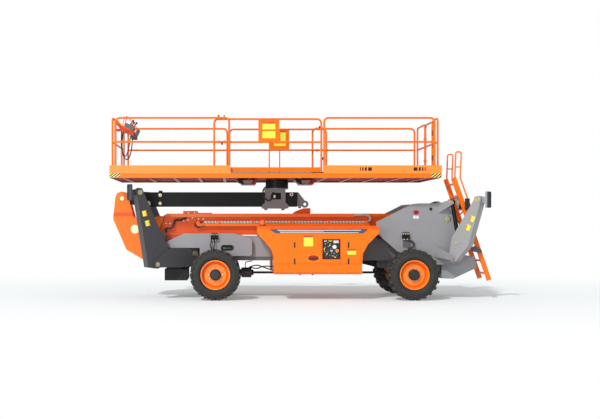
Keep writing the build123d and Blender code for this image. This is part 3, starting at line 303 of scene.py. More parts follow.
def paint(name, slot, colour, roughness=0.34, surface=SPRAYED):
    """Sprayed machine paint with an uneven skin and dust near the ground."""
    finish = Finish(name, slot, colour, roughness, 0.0, surface)
    z = finish.axes()[2]
    cloud = finish.noise(1.7, 4.0)
    speck = finish.noise(38.0, 5.0)
    uneven = finish.mix(cloud, shade(colour, 0.90), shade(colour, 1.08))
    low = ((1.0 - z) * 0.8).clamp() * (speck * 1.6 - 0.35).clamp() * DUST_AMOUNT
    finish.set("Base Color", finish.mix(low, uneven, DUST))
    finish.set("Roughness", (speck * 0.16 + (roughness - 0.08) + low).clamp())
    orange_peel(finish)
    return finish


orange = paint("orange_paint", "orange", ORANGE)
# painted shade: a darker copy of the orange for parts that sit inside or under others
shaded_orange = paint("shaded_orange_paint", "orange_shade", SHADE_ORANGE, 0.42)
grey = paint("grey_paint", "light_grey", GREY, 0.40)
bracket_grey = paint("bracket_grey_paint", "mid_grey", (0.20, 0.195, 0.205), 0.40)
weight_grey = paint("weight_grey_paint", "light_grey", (0.32, 0.325, 0.34), 0.42)
charcoal = paint("charcoal_paint", "charcoal", CHARCOAL, 0.42)
slate = paint("slate_paint", "charcoal", (0.115, 0.118, 0.130), 0.42)
black = paint("black_paint", "black_paint", (0.012, 0.013, 0.014), 0.38, DULL_SPRAYED)
dark_steel = paint("dark_steel_paint", "charcoal", (0.014, 0.014, 0.016), 0.40, DULL_SPRAYED)
print("paint colours so far:", len(bpy.data.materials))

# %% [markdown]
# ## Wheels
# A tyre is dull, with fine rings on its side wall and brown dust on the lugs. An image could carry them,
# but a formula stays sharp at any size: the rings follow the distance from the axle's line, so the front
# and the rear tyres each get the same rubber with their own centre. The rim and its hub are one node, so
# the black of the hub is a mask by that same distance.

# %% Tyres and rims
RUBBER = (0.020, 0.019, 0.018)
AXLE_Z = 0.535
WHEEL_XS = {"front": -1.847, "rear": 2.318}
SIDES = (("near", -1), ("far", 1))
HUB_EDGE = 0.1165
RINGS_START, RINGS_END = 0.375, 0.445
TREAD_START = 0.47
RIM_SURFACE = {"Coat Weight": 0.15, "Coat Roughness": 0.1}


def distance_from(finish, x0, z0):
    """How far a point lies from an axle's line."""
    x, _, z = finish.axes()
    return ((x - x0).squared() + (z - z0).squared()).root()


def tyre_rubber(axle):
    """Rubber with side-wall rings and dusty lugs."""
    finish = Finish(f"tyre_rubber_{axle}", "tyre", RUBBER, 0.78)
    away = distance_from(finish, WHEEL_XS[axle], AXLE_Z)
    dusty = ((away - TREAD_START) * 14.0).clamp() * (finish.noise(26.0, 5.0) * 2.2 - 0.75).clamp()
    worn = finish.mix(finish.noise(7.0, 4.0), shade(RUBBER, 0.75), shade(RUBBER, 1.5))
    finish.set("Base Color", finish.mix(dusty * 0.65, worn, (0.115, 0.095, 0.075)))
    finish.set("Roughness", finish.noise(60.0, 3.0) * 0.2 + 0.66)
    ring = (away * 210.0).sine() * away.between(RINGS_START, RINGS_END)
    finish.bump(ring * 0.35 + finish.noise(180.0, 3.0) * 0.5, 0.0016)
    return finish


def rim_paint(axle):
    """Orange wheel paint with a black hub in the middle."""
    finish = Finish(f"rim_paint_{axle}", "rim_orange", ORANGE, 0.30, 0.0, RIM_SURFACE)
    away = distance_from(finish, WHEEL_XS[axle], AXLE_Z)
    hub = away < HUB_EDGE
    uneven = finish.mix(finish.noise(5.0), (0.93, 0.16, 0.006), (1.0, 0.27, 0.012))
    finish.set("Base Color", finish.mix(hub, uneven, (0.012, 0.012, 0.013)))
    finish.set("Roughness", 0.28 + hub * 0.2 + finish.noise(40.0) * 0.1)
    orange_peel(finish, 300.0)
    return finish


rubbers = {axle: tyre_rubber(axle) for axle in WHEEL_XS}
rims = {axle: rim_paint(axle) for axle in WHEEL_XS}
print("wheel finishes:", len(rubbers) + len(rims))

# %% [markdown]
# ## Metal and plastic
# Rods are chromed, pins and washers have the warm tint of yellow zinc, and covers and labels are plastic.
# All metals share one function and all plastics another, because they differ only in colour and gloss: a
# mark that would be modelled on a single showpiece is a faint noise on a hundred small ones.


# %% Metals, plastics and labels
def metal(name, slot, colour, roughness, bump=0.0004):
    """Bare or plated metal with fine marks."""
    finish = Finish(name, slot, colour, roughness, 1.0)
    finish.set("Base Color", finish.mix(finish.noise(22.0, 4.0), shade(colour, 0.80), shade(colour, 1.12)))
    finish.set("Roughness", finish.noise(90.0, 4.0) * 0.2 + (roughness - 0.08))
    finish.bump(finish.noise(240.0, 3.0), bump, 0.6)
    return finish


def plastic(name, slot, colour, roughness=0.5):
    """Moulded plastic with a grained skin."""
    finish = Finish(name, slot, colour, roughness)
    finish.set("Base Color", finish.mix(finish.noise(9.0), shade(colour, 0.86), shade(colour, 1.12)))
    finish.set("Roughness", finish.noise(70.0) * 0.18 + (roughness - 0.09))
    finish.bump(finish.noise(520.0, 2.0), 0.0004, 0.6)
    return finish


chrome = metal("chromed_rod", "chrome_rod", (0.78, 0.79, 0.81), 0.16, 0.0001)
zinc = metal("yellow_zinc", "chrome_rod", (0.62, 0.55, 0.34), 0.36)
steel = metal("bolt_steel", "chrome_rod", (0.52, 0.52, 0.52), 0.32)
cast = metal("cast_iron", "cast_grey", (0.10, 0.10, 0.105), 0.55)
hose_rubber = plastic("hose_rubber", "hose_black", (0.014, 0.014, 0.015), 0.45)
black_plastic = plastic("black_plastic", "hose_black", (0.02, 0.02, 0.022), 0.42)
grey_plastic = plastic("grey_plastic", "mid_grey", (0.30, 0.31, 0.33), 0.45)
dark_plastic = plastic("dark_plastic", "mid_grey", (0.095, 0.10, 0.115), 0.40)
label_yellow = plastic("label_yellow", "beacon_amber", (0.86, 0.80, 0.06), 0.40)
label_red = plastic("label_red", "beacon_amber", (0.72, 0.035, 0.03), 0.40)
label_white = plastic("label_white", "light_grey", (0.80, 0.80, 0.80), 0.40)
label_blue = plastic("label_blue", "hose_black", (0.035, 0.075, 0.16), 0.40)
canister_green = plastic("canister_green", "hose_black", (0.030, 0.070, 0.018), 0.35)
sleeve = plastic("hose_sleeve", "hose_black", (0.50, 0.53, 0.45), 0.45)
amber = Finish("amber_lens", "beacon_amber", (0.95, 0.13, 0.01), 0.18, 0.0, {"Transmission Weight": 0.15})
amber.bump(amber.noise(60.0), 0.0008)
print("materials so far:", len(bpy.data.materials))

# %% [markdown]
# ## The boom's hoses and tubes
# Beside the boom lie two orange tubes and a bundle of pale hoses in a clear sleeve. In the frame they are
# one node, so a mask by height tells the hoses from the tubes, and short waves along X give the sleeve its
# wraps.

# %% Hose tray
HOSE_LOW, HOSE_HIGH = 1.6195, 1.68


def hose_tray_finish():
    """Orange tubes with a pale, wrapped bundle of hoses between two heights."""
    finish = Finish("hose_tray_finish", "orange", ORANGE, 0.36)
    x, _, z = finish.axes()
    bundle = z.between(HOSE_LOW, HOSE_HIGH)
    wraps = (x * 90.0 + z * 30.0).sine()
    pale = finish.mix((wraps * 0.5 + finish.noise(30.0)).clamp(), (0.30, 0.36, 0.28), (0.72, 0.75, 0.66))
    uneven = finish.mix(finish.noise(3.0), shade(ORANGE, 0.92), shade(ORANGE, 1.06))
    finish.set("Base Color", finish.mix(bundle, uneven, pale))
    finish.set("Roughness", 0.34 + bundle * 0.1)
    finish.bump(wraps * bundle, 0.003)
    return finish


hose_tray = hose_tray_finish()
print("hose tray finish between", HOSE_LOW, "and", HOSE_HIGH)

# %% [markdown]
# ## The deck
# The deck is one node: an orange fascia with a fold line, a floor of tread plate and beams below. Its marks
# are flat paint and foil, so they are masks and not shapes: slanting hazard stripes at the lower corners, a
# dark line under the gate, and a row of plain bars. Above the fold the fascia carries a painted highlight,
# and its underside painted shade. The tread plate is a grid of small raised lozenges in the bump.

# %% Deck finish
SKIN_Y = 1.146
FOLD_Z = 2.662
UNDERSIDE_TOP = 2.668
TREAD_LOW, TREAD_HIGH = 2.676, 2.69
LOZENGES = 120.0
HAZARD_LEFT, HAZARD_RIGHT = -3.836, 2.663
HAZARD_LOW, HAZARD_HIGH = 2.575, 2.656
STRIPE = 0.072
HAZARD_YELLOW = (0.84, 0.76, 0.20)
FOLD_HIGHLIGHT = (0.98, 0.27, 0.045)
UNDERSIDE_SHADE = (0.42, 0.045, 0.010)
FOIL_DARK = (0.035, 0.022, 0.020)
LINE_LEFT, LINE_RIGHT = -1.53, 0.41
LINE_LOW, LINE_HIGH = 2.663, 2.684
BARS_LOW, BARS_HIGH = 2.712, 2.786
BARS = ((0.435, 0.515), (0.54, 0.585), (0.61, 0.64), (0.665, 0.685))
BARS_MIDDLE = 1.854


def deck_finish():
    """Orange fascia with marks and a painted highlight, tread plate on top and a painted shade underside.
    """
    finish = Finish("deck_finish", "orange", ORANGE, 0.36, 0.0, SPRAYED)
    x, y, z = finish.axes()
    skin = (y * y) > SKIN_Y * SKIN_Y
    uneven = finish.mix(finish.noise(1.7, 4.0), shade(ORANGE, 0.92), shade(ORANGE, 1.06))
    # painted highlight: the fascia above the fold is paler
    upper = finish.mix((z > FOLD_Z) * skin, uneven, FOLD_HIGHLIGHT)
    # painted shade: the deck's underside is darker red
    below = (1.0 - skin) * (z < UNDERSIDE_TOP)
    under = finish.mix(below, upper, UNDERSIDE_SHADE)
    corner = ((x < HAZARD_LEFT) + (x > HAZARD_RIGHT)) * z.between(HAZARD_LOW, HAZARD_HIGH) * skin
    slant = (x - z * 1.35 + 20.0).wrap(STRIPE) > STRIPE * 0.46
    hazard = finish.mix(slant, HAZARD_YELLOW, (0.012, 0.012, 0.012))
    marked = finish.mix(corner, under, hazard)
    reach = (x - BARS_MIDDLE).squared().root()
    bars = sum(reach.between(low, high) for low, high in BARS)
    foil = bars * z.between(BARS_LOW, BARS_HIGH) * skin
    line = z.between(LINE_LOW, LINE_HIGH) * x.between(LINE_LEFT, LINE_RIGHT) * skin
    dark = finish.mix((foil + line).clamp(), marked, FOIL_DARK)
    tread = (1.0 - skin) * z.between(TREAD_LOW, TREAD_HIGH)
    plate = finish.mix(finish.noise(6.0, 4.0), (0.13, 0.13, 0.135), (0.20, 0.20, 0.205))
    finish.set("Base Color", finish.mix(tread, dark, plate))
    finish.set("Metallic", tread * 0.35)
    finish.set("Roughness", 0.32 + finish.noise(38.0, 5.0) * 0.14 + tread * 0.22)
    lozenge = (x * LOZENGES + y * LOZENGES).sine() * (x * LOZENGES - y * LOZENGES).sine() > 0.45
    finish.bump(lozenge * tread + finish.noise(420.0, 2.0) * 0.2, 0.0025)
    return finish


deck_orange = deck_finish()
print("deck bars on each side of their middle:", len(BARS))

# %% [markdown]
# ## Two colours on one node
# A foot on a grey leg and the red edge of a lifting hole are paint on one casting or weldment. The other
# masks
# are painted shade: a darker flank and rest on the boom, a band where the head bends, folds on the hood and
# the tray, and the shaded side of the console's tray. Each is the plain machine paint with a mask from the
# point's own place.

# %% Masked paints
FOOT_SLATE = (0.050, 0.056, 0.070)
LEG_GREY = (0.33, 0.325, 0.33)
FLANK_SHADE = (0.80, 0.088, 0.006)
FOLD_SHADE = (0.90, 0.095, 0.004)
CONSOLE_SHADE = (0.55, 0.045, 0.006)
HEAD_BEND_SHADE = (0.90, 0.080, 0.004)
HOLE_RED = (0.62, 0.03, 0.02)
DISH_PLACE = (0.201, 0.891)
HOLE_PLACE = (2.447, 1.851)


def masked_paint(name, slot, colour, other, mask):
    """A paint that turns into a second colour where the mask is one."""
    finish = Finish(name, slot, colour, 0.40, 0.0, SPRAYED)
    x, y, z = finish.axes()
    cloud = finish.noise(1.7, 4.0)
    first = finish.mix(cloud, shade(colour, 0.90), shade(colour, 1.08))
    second = finish.mix(cloud, shade(other, 0.85), shade(other, 1.15))
    finish.set("Base Color", finish.mix(mask(x, y, z), first, second))
    finish.set("Roughness", finish.noise(38.0, 5.0) * 0.16 + 0.32)
    orange_peel(finish)
    return finish


def oval(x, z, place, across, up):
    """Under one inside an oval, whose half length and half height are given as their squares."""
    return (x - place[0]).squared() / across + (z - place[1]).squared() / up


# painted shade: a darker band across the head where its plates bend
head_paint = masked_paint("head_paint", "orange", ORANGE, HEAD_BEND_SHADE,
                          lambda x, y, z: z.between(1.769, 1.858) * (x < -3.3))
rear_leg_paint = masked_paint("rear_leg_paint", "light_grey", LEG_GREY, FOOT_SLATE,
                              lambda x, y, z: (x > 3.79) * (z > 1.94))
front_leg_paint = masked_paint("front_leg_paint", "charcoal", CHARCOAL, FOOT_SLATE,
                               lambda x, y, z: (x < -3.60) * (z > 2.05))
# painted shade: the boom's flank under the hose tray and the rest on its top take a darker red-orange
boom_paint = masked_paint("boom_paint", "orange", ORANGE, FLANK_SHADE,
                          lambda x, y, z: ((y * y > 0.0456) * (z < 1.768) * (x < 2.1)
                                           + (z > 1.834) * (x > -0.2)).clamp())
# painted shade: a redder band along the hood's upper fold
hood_paint = masked_paint("hood_paint", "orange", ORANGE, FOLD_SHADE,
                          lambda x, y, z: z.between(1.503, 1.560) * (y * y > 1.1))
# painted shade: the side of the console's tray that faces away from the light is darker red
console_paint = masked_paint("console_paint", "orange", ORANGE, CONSOLE_SHADE,
                             lambda x, y, z: ((z + x * 0.52 < 1.690) * (x < -3.56) * (y < -0.535)
                                              * (z < 3.72)))
# painted shade: a redder band along the tray's lower folded edge
tray_paint = masked_paint("tray_paint", "orange", ORANGE, FOLD_SHADE, lambda x, y, z: z < 0.592)
tower_paint = masked_paint("tower_paint", "light_grey", GREY, HOLE_RED,
                           lambda x, y, z: oval(x, z, HOLE_PLACE, 0.0050, 0.0024) < 1.0)


def paint_dish_light_and_shade(finish):
    """The pressed oval round the handle: a painted highlight on its rim and painted shade in its bottom,
    near side alone.
    """
    x, y, z = finish.axes()
    reach = oval(x, z, DISH_PLACE, 0.0196, 0.0053)
    near = y < -1.1
    before = Field(finish, finish.shader.inputs["Base Color"].links[0].from_socket)
    # painted highlight on the dish's rim, then painted shade in its bottom
    rim = finish.mix((reach < 1.0) * near, before, (1.0, 0.26, 0.02))
    finish.set("Base Color", finish.mix((reach < 0.70) * near, rim, (0.42, 0.022, 0.003)))


paint_dish_light_and_shade(hood_paint)
print("materials:", len(bpy.data.materials))

# %% [markdown]
# ## Finishes on the frame's own nodes
# Most of the machine needs no new shape, only a finish. Fifty-seven lines, one for each node, would hide
# which pieces share a paint, so a table pairs each family of nodes with its finish. The first name that a
# node's own name starts with wins.

# %% Node finishes
NODE_FINISHES = (
    ("tyre_front", rubbers["front"]), ("tyre_rear", rubbers["rear"]),
    ("rim_front", rims["front"]), ("rim_rear", rims["rear"]),
    ("outrigger_rod", chrome), ("outrigger_barrel", black),
    ("outrigger_leg_front", front_leg_paint), ("outrigger_leg_rear", rear_leg_paint),
    ("lift_rod", chrome), ("jib_rod", chrome), ("lift_barrel", black), ("jib_barrel", black),
    ("front_outrigger_beams", charcoal), ("front_weight", dark_steel), ("front_body", grey),
    ("boom_towers", tower_paint), ("boom_base", boom_paint), ("boom_fly", head_paint),
    ("console", console_paint), ("hood", hood_paint), ("side_trays", tray_paint),
    ("rear_weight", weight_grey), ("platform_deck", deck_orange), ("main_frame", slate),
    ("drive_shaft", dark_steel), ("front_axle", charcoal), ("rear_axle", charcoal), ("knuckle", charcoal),
    ("hose_tray", hose_tray), ("boom_mid", shaded_orange), ("jib_bracket", bracket_grey),
    ("jib_nose", bracket_grey), ("jib", black), ("rotator", black), ("engine_block", cast),
    ("ground_controls", black_plastic), ("beacon", amber), ("", orange),
)

for name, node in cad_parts.items():
    finish = next(entry[1] for entry in NODE_FINISHES if name.startswith(entry[0]))
    node.data.materials.clear()
    node.data.materials.append(finish.material)
print("finished nodes:", len(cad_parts))

# %% [markdown]
# ## Small shapes
# Blocks, drums and cut sheets are all that the trim needs. Each starts as a primitive, gets its edges
# broken by a bevel, and ends with its place in its mesh so that the frame can move it. The helpers here do
# what every one of them has in common.


# %% Helpers for new pieces
def clear_selection():
    """Nothing selected, nothing in edit mode."""
    if bpy.context.object and bpy.context.object.mode != "OBJECT":
        bpy.ops.object.mode_set(mode="OBJECT")
    bpy.ops.object.select_all(action="DESELECT")


def seat(name, body, finish, matrix=None):
    """Place the active piece for good, give it its finish and let it ride on a body."""
    piece = bpy.context.object
    if matrix is not None:
        piece.matrix_world = matrix @ piece.matrix_world
    bpy.ops.object.transform_apply(location=True, rotation=True, scale=True)
    piece.name = name
    piece.data.name = name
    piece.data.materials.clear()
    piece.data.materials.append(finish.material)
    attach(piece, body)
    return piece


def break_edges(width, segments=2):
    """Round the sharp edges of the active piece."""
    piece = bpy.context.object
    bevel = piece.modifiers.new("edges", "BEVEL")
    bevel.width = width
    bevel.segments = segments
    bevel.limit_method = "ANGLE"
    bevel.angle_limit = radians(40)
    bpy.ops.object.modifier_apply(modifier=bevel.name)


def press_face(normal, width, depth):
    """Inset the faces that look one way and push them in, as a press does."""
    piece = bpy.context.object
    for face in piece.data.polygons:
        face.select = face.normal.dot(Vector(normal)) > 0.95
    bpy.ops.object.mode_set(mode="EDIT")
    bpy.ops.mesh.select_mode(type="FACE")
    bpy.ops.mesh.inset(thickness=width, depth=depth)
    bpy.ops.object.mode_set(mode="OBJECT")


# %% [markdown]
# ## Blocks
# A plate, a latch or a box is a cube set between two corners. A bare cube looks drawn, so its two faces
# along Y are inset and pressed in by a hair and its edges are broken: that gives the rim on which light
# catches.


# %% A block between two corners
def brick(name, low, high, body, finish, edge=0.004, matrix=None, turn=0.0):
    """A block between two corners, with pressed sides and broken edges, turned about its middle along Y."""
    clear_selection()
    middle = [(a + b) / 2 for a, b in zip(low, high)]
    size = [abs(b - a) for a, b in zip(low, high)]
    bpy.ops.mesh.primitive_cube_add(size=1, location=middle, rotation=(0, turn, 0))
    bpy.context.object.scale = size
    bpy.ops.object.transform_apply(location=False, rotation=False, scale=True)
    rim = min(0.012, min(size[0], size[2]) * 0.22)
    for way in (-1, 1):
        press_face((0, way, 0), rim, -min(0.003, size[1] * 0.12))
    break_edges(min(edge, min(size) * 0.3))
    return seat(name, body, finish, matrix)


# %% [markdown]
# ## Drums
# Pins, nuts, bolts and buttons are turned or cut from bar. A cone primitive between two points serves for
# all: thirty-two sides make it round, six make it a nut, and a second radius makes it taper.


# %% A round or six-sided bar
def drum(name, start, end, radius, body, finish, edge=0.003, matrix=None, sides=32, top=None):
    """A round bar, or a cone where its far end has another radius."""
    clear_selection()
    line = Vector(end) - Vector(start)
    angle = line.to_track_quat("Z", "Y").to_euler()
    bpy.ops.mesh.primitive_cone_add(
        vertices=sides, radius1=radius, radius2=radius if top is None else top, depth=line.length,
        location=(Vector(start) + Vector(end)) / 2, rotation=angle)
    small = min(radius, radius if top is None else max(top, radius * 0.3))
    for way in (-1, 1):
        press_face((0, 0, way), small * 0.3, -min(0.002, line.length * 0.1))
    break_edges(min(edge, line.length * 0.25, small * 0.12))
    bpy.ops.object.shade_smooth_by_angle(angle=radians(35))
    return seat(name, body, finish, matrix)


# %% [markdown]
# ## Cut sheets
# Some plates have slanting sides. A real one is cut from sheet with straight cuts, and so is this one: a
# plane of its outer size is bisected along each side of the outline and then extruded to its thickness.


# %% A sheet cut to its outline
def cut_sheet(name, outline, y, thickness, body, finish, edge=0.002, matrix=None):
    """A sheet whose convex outline in X and Z is cut side by side, given a thickness along Y."""
    clear_selection()
    xs, zs = [point[0] for point in outline], [point[1] for point in outline]
    middle = Vector((sum(xs) / len(xs), y, sum(zs) / len(zs)))
    centre = ((min(xs) + max(xs)) / 2, y, (min(zs) + max(zs)) / 2)
    bpy.ops.mesh.primitive_plane_add(size=1, location=centre, rotation=(radians(90), 0, 0))
    sheet = bpy.context.object
    sheet.scale = (max(xs) - min(xs), max(zs) - min(zs), 1)
    bpy.ops.object.transform_apply(location=True, rotation=True, scale=True)
    bpy.ops.object.mode_set(mode="EDIT")
    for (x0, z0), (x1, z1) in zip(outline, outline[1:] + outline[:1]):
        across = Vector((z1 - z0, 0, x0 - x1)).normalized()
        corner = Vector((x0, y, z0))
        if (corner - middle).dot(across) < 0:
            across = -across
        bpy.ops.mesh.select_all(action="SELECT")
        bpy.ops.mesh.bisect(plane_co=corner + across * 0.00001, plane_no=across, clear_outer=True)
    bpy.ops.mesh.select_all(action="SELECT")
    bpy.ops.mesh.extrude_region_move(TRANSFORM_OT_translate={"value": (0, thickness, 0)})
    bpy.ops.mesh.select_all(action="SELECT")
    bpy.ops.mesh.normals_make_consistent(inside=False)
    bpy.ops.object.mode_set(mode="OBJECT")
    break_edges(min(edge, abs(thickness) * 0.3))
    return seat(name, body, finish, matrix)


# %% [markdown]
# ## Joining and copying
# Ten nuts on a wheel, or a row of screws, are one piece to whoever uses the model, so their parts are
# joined. Where small parts are alike, one can be modelled and copied to the other places. Each copy has its
# own mesh, so that its place can be kept in the mesh like that of any other piece.


# %% Join and spread
def join(name, pieces):
    """Several pieces made one."""
    clear_selection()
    for piece in pieces:
        piece.select_set(True)
    bpy.context.view_layer.objects.active = pieces[0]
    bpy.ops.object.join()
    pieces[0].name = name
    pieces[0].data.name = name
    return pieces[0]


def spread(name, first, offsets):
    """A piece and its copies at several offsets from it, each with its own mesh, made one."""
    pieces = [first]
    for offset in offsets:
        clear_selection()
        first.select_set(True)
        bpy.context.view_layer.objects.active = first
        bpy.ops.object.duplicate()
        bpy.context.object.data.transform(Matrix.Translation(offset))
        pieces.append(bpy.context.object)
    return join(name, pieces)


# %% [markdown]
# ## Hoses
# A hydraulic hose is a fixed length of rubber that leaves one fitting and enters another, and it sags
# between them. Each is a smooth line with few control points.

# %% Hoses and cables
def hose(name, points, diameter, body, finish=None):
    """A free hose between two fittings, as one smooth curve."""
    finish = finish or hose_rubber
    clear_selection()
    curve = bpy.data.curves.new(name, "CURVE")
    curve.dimensions = "3D"
    curve.resolution_u = 10
    spline = curve.splines.new("NURBS")
    spline.points.add(len(points) - 1)
    for point, place in zip(spline.points, points):
        point.co = (*place, 1)
    spline.order_u = 3
    spline.use_endpoint_u = True
    piece = bpy.data.objects.new(name, curve)
    bpy.context.scene.collection.objects.link(piece)
    line = bpy.data.meshes.new_from_object(piece)
    curve.bevel_depth = diameter / 2
    curve.bevel_resolution = 3
    curve.use_fill_caps = True
    curve.materials.append(finish.material)
    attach(piece, body)
    return piece


HOSES = (
    # name, diameter, body, control points
    ("console_cable_a", 0.024, "platform",
     ((-3.84, -0.70, 3.61), (-3.87, -0.70, 3.35), (-3.83, -0.71, 3.10), (-3.76, -0.72, 3.02),
      (-3.70, -0.71, 3.20), (-3.66, -0.70, 3.49))),
    ("console_cable_b", 0.024, "platform",
     ((-3.80, -0.78, 3.58), (-3.86, -0.78, 3.28), (-3.79, -0.78, 2.98), (-3.69, -0.78, 2.97),
      (-3.62, -0.78, 3.22), (-3.61, -0.77, 3.478))),
    ("rotator_hose", 0.034, "jib",
     ((-0.735, -0.10, 2.43), (-0.83, -0.20, 2.37), (-0.81, -0.29, 2.18), (-0.70, -0.29, 2.09),
      (-0.60, -0.27, 2.18), (-0.60, -0.18, 2.29))),
    ("steering_hose_a", 0.022, "chassis",
     ((-1.93, -0.585, 1.27), (-1.97, -0.63, 1.16), (-1.93, -0.60, 1.06), (-1.95, -0.565, 0.96))),
    ("steering_hose_b", 0.022, "chassis",
     ((-1.88, -0.585, 1.27), (-1.86, -0.64, 1.18), (-1.90, -0.61, 1.08), (-1.88, -0.565, 0.96))),
    ("drive_hose_a", 0.026, "chassis",
     ((-1.12, -0.05, 0.65), (-0.98, -0.12, 0.72), (-0.80, -0.30, 0.66), (-0.62, -0.43, 0.60))),
    ("drive_hose_b", 0.026, "chassis",
     ((-1.09, 0.03, 0.65), (-0.95, -0.02, 0.60), (-0.80, -0.20, 0.70), (-0.62, -0.43, 0.68))),
    ("drive_hose_c", 0.020, "chassis",
     ((-1.20, -0.04, 0.65), (-1.22, -0.10, 0.76), (-1.12, -0.22, 0.79), (-1.06, -0.38, 0.80))),
    ("tower_hose", 0.036, "chassis",
     ((2.25, -0.645, 1.26), (2.38, -0.68, 1.24), (2.40, -0.68, 1.10), (2.26, -0.645, 1.08))),
    ("head_hose", 0.046, "boom_base",
     ((-2.94, -0.24, 1.45), (-2.94, -0.265, 1.53), (-2.81, -0.28, 1.50), (-2.76, -0.28, 1.62),
      (-2.74, -0.27, 1.70), (-2.60, -0.26, 1.68), (-2.49, -0.245, 1.742))),
    ("tray_end_hose", 0.030, "boom_base",
     ((-2.150, -0.275, 1.645), (-2.30, -0.285, 1.660), (-2.30, -0.29, 1.54), (-2.20, -0.29, 1.54),
      (-2.11, -0.28, 1.567))),
    ("boom_hose_return", 0.052, "boom_base",
     ((1.165, -0.27, 1.80), (1.36, -0.27, 1.81), (1.52, -0.27, 1.78), (1.52, -0.27, 1.66),
      (1.398, -0.27, 1.645))),
)
hoses = [hose(name, points, size, body, sleeve if name == "boom_hose_return" else None)
         for name, size, body, points in HOSES]
print("hoses:", len(hoses))

# %% [markdown]
# ## Wheel nuts and hub caps
# Ten nuts sit on each disc round the black hub, each a six-sided bar on a round washer, set round the axle
# by a loop. The small screws of the hub cap are all alike, so one is modelled and copied. The far wheels
# get the same rings, facing the other way.

# %% Nuts and caps
NUTS, CAP_SCREWS = 10, 6
NUT_CIRCLE, CAP_CIRCLE = 0.140, 0.058
DISC_Y = 1.030
CAP_Y = 1.126


def ring_places(circle, count, start):
    """Places round the axle, as steps from the axle in X and Z."""
    angles = [2 * pi * (number + start) / count for number in range(count)]
    return [Vector((circle * sin(angle), 0, circle * cos(angle))) for angle in angles]


def wheel_drum(axle, side, inner, outer, radius, finish, edge, sides=32, step=(0, 0, 0)):
    """A round or six-sided piece on a wheel, between two distances from the machine's middle."""
    sign = dict(SIDES)[side]
    ends = [Vector((WHEEL_XS[axle], sign * y, AXLE_Z)) + Vector(step) for y in (inner, outer)]
    return drum("part", *ends, radius, f"wheel_{axle}_{side}", finish, edge, sides=sides)


def wheel_fittings(axle, side):
    """The ring of nuts and the cap of one wheel."""
    nuts = []
    for place in ring_places(NUT_CIRCLE, NUTS, 0.5):
        nuts += [wheel_drum(axle, side, DISC_Y, DISC_Y + 0.006, 0.014, zinc, 0.001, 20, place),
                 wheel_drum(axle, side, DISC_Y + 0.005, DISC_Y + 0.026, 0.011, steel, 0.003, 6, place)]
    join(f"wheel_nuts_{axle}_{side}", nuts)
    places = ring_places(CAP_CIRCLE, CAP_SCREWS, 0)
    screw = wheel_drum(axle, side, CAP_Y, CAP_Y + 0.012, 0.008, black_plastic, 0.002, 6, places[0])
    screws = spread("screws", screw, [place - places[0] for place in places[1:]])
    join(f"hub_cap_{axle}_{side}", [
        wheel_drum(axle, side, CAP_Y - 0.01, CAP_Y + 0.006, 0.078, black_plastic, 0.004),
        wheel_drum(axle, side, CAP_Y, CAP_Y + 0.018, 0.030, black_plastic, 0.005), screws])


for axle in WHEEL_XS:
    for side, _ in SIDES:
        wheel_fittings(axle, side)
print("wheels with nuts and caps:", len(WHEEL_XS) * len(SIDES))

# %% [markdown]
# ## Pin heads
# Most pivots end in a plated pin head with a keeper bolt beside it, and the largest have a plain round
# cover. A pin is turned from bar, so its head is two drums, the smaller one standing proud. A short table
# gives the places. Those of the outriggers lie in the plane of their leg, so they are drawn there and
# turned into place.

# %% Outrigger planes
LEG_PLACES = {
    # end: pivot x, pivot y, pivot z, turn in degrees
    "front": (-3.133, 0.770, 0.749, 28),
    "rear": (3.240, 0.785, 0.889, 40),
}


def outrigger_plane(end, sign):
    """The matrix from an outrigger's own plane, x outwards and z up from its pin, to its corner."""
    x, y, z, turn = LEG_PLACES[end]
    angle = radians(180 - sign * turn if end == "front" else sign * turn)
    return Matrix.Translation((x, sign * y, z)) @ Matrix.Rotation(angle, 4, "Z")


def pin_head(name, x, z, y, outward, radius, body, matrix=None, keeper=True):
    """A plated disc with a raised rim line, and a keeper bolt beside it."""
    # beside the middle, start and end along the pin, radius, finish, sides
    rows = [(0, -0.012, 0.008, radius, zinc, 32), (0, 0, 0.012, radius * 0.62, zinc, 32)]
    if keeper:
        rows.append((radius * 0.75, 0, 0.014, radius * 0.22, steel, 6))
    parts = []
    for beside, inner, outer, size, finish, sides in rows:
        ends = [(x + beside, y + outward * reach, z - beside) for reach in (inner, outer)]
        parts.append(drum("pin", *ends, size, body, finish, 0.002, matrix, sides))
    join(name, parts)


LEG_SIDE = 0.115
CHEEK_SIDE = 0.141
PIN_HEADS = (
    # name, end, part, x, z, half width, radius
    ("leg_top_pin", "front", "leg", 0.390, 1.519, LEG_SIDE, 0.052),
    ("leg_top_pin", "rear", "leg", 0.560, 1.219, LEG_SIDE, 0.062),
    ("leg_foot_pin", "front", "chassis", 0.0, 0.0, CHEEK_SIDE, 0.048),
    ("leg_foot_pin", "rear", "chassis", 0.0, 0.0, CHEEK_SIDE, 0.040),
    ("beam_pin", "front", "chassis", -0.880, 0.215, CHEEK_SIDE, 0.062),
    ("cylinder_top_pin", "rear", "chassis", -0.066, 1.180, 0.078, 0.036),
    ("rod_pin", "rear", "leg", 0.092, 0.317, LEG_SIDE, 0.036),
)
for name, end, part, x, z, half, radius in PIN_HEADS:
    for side, sign in SIDES:
        body = "chassis" if part == "chassis" else f"outrigger_leg_{end}_{side}"
        for face in (-1, 1):
            label = "in" if face * sign * (-1 if end == "front" else 1) < 0 else "out"
            pin_head(f"{name}_{end}_{side}_{label}", x, z, face * half, face, radius, body,
                     outrigger_plane(end, sign))
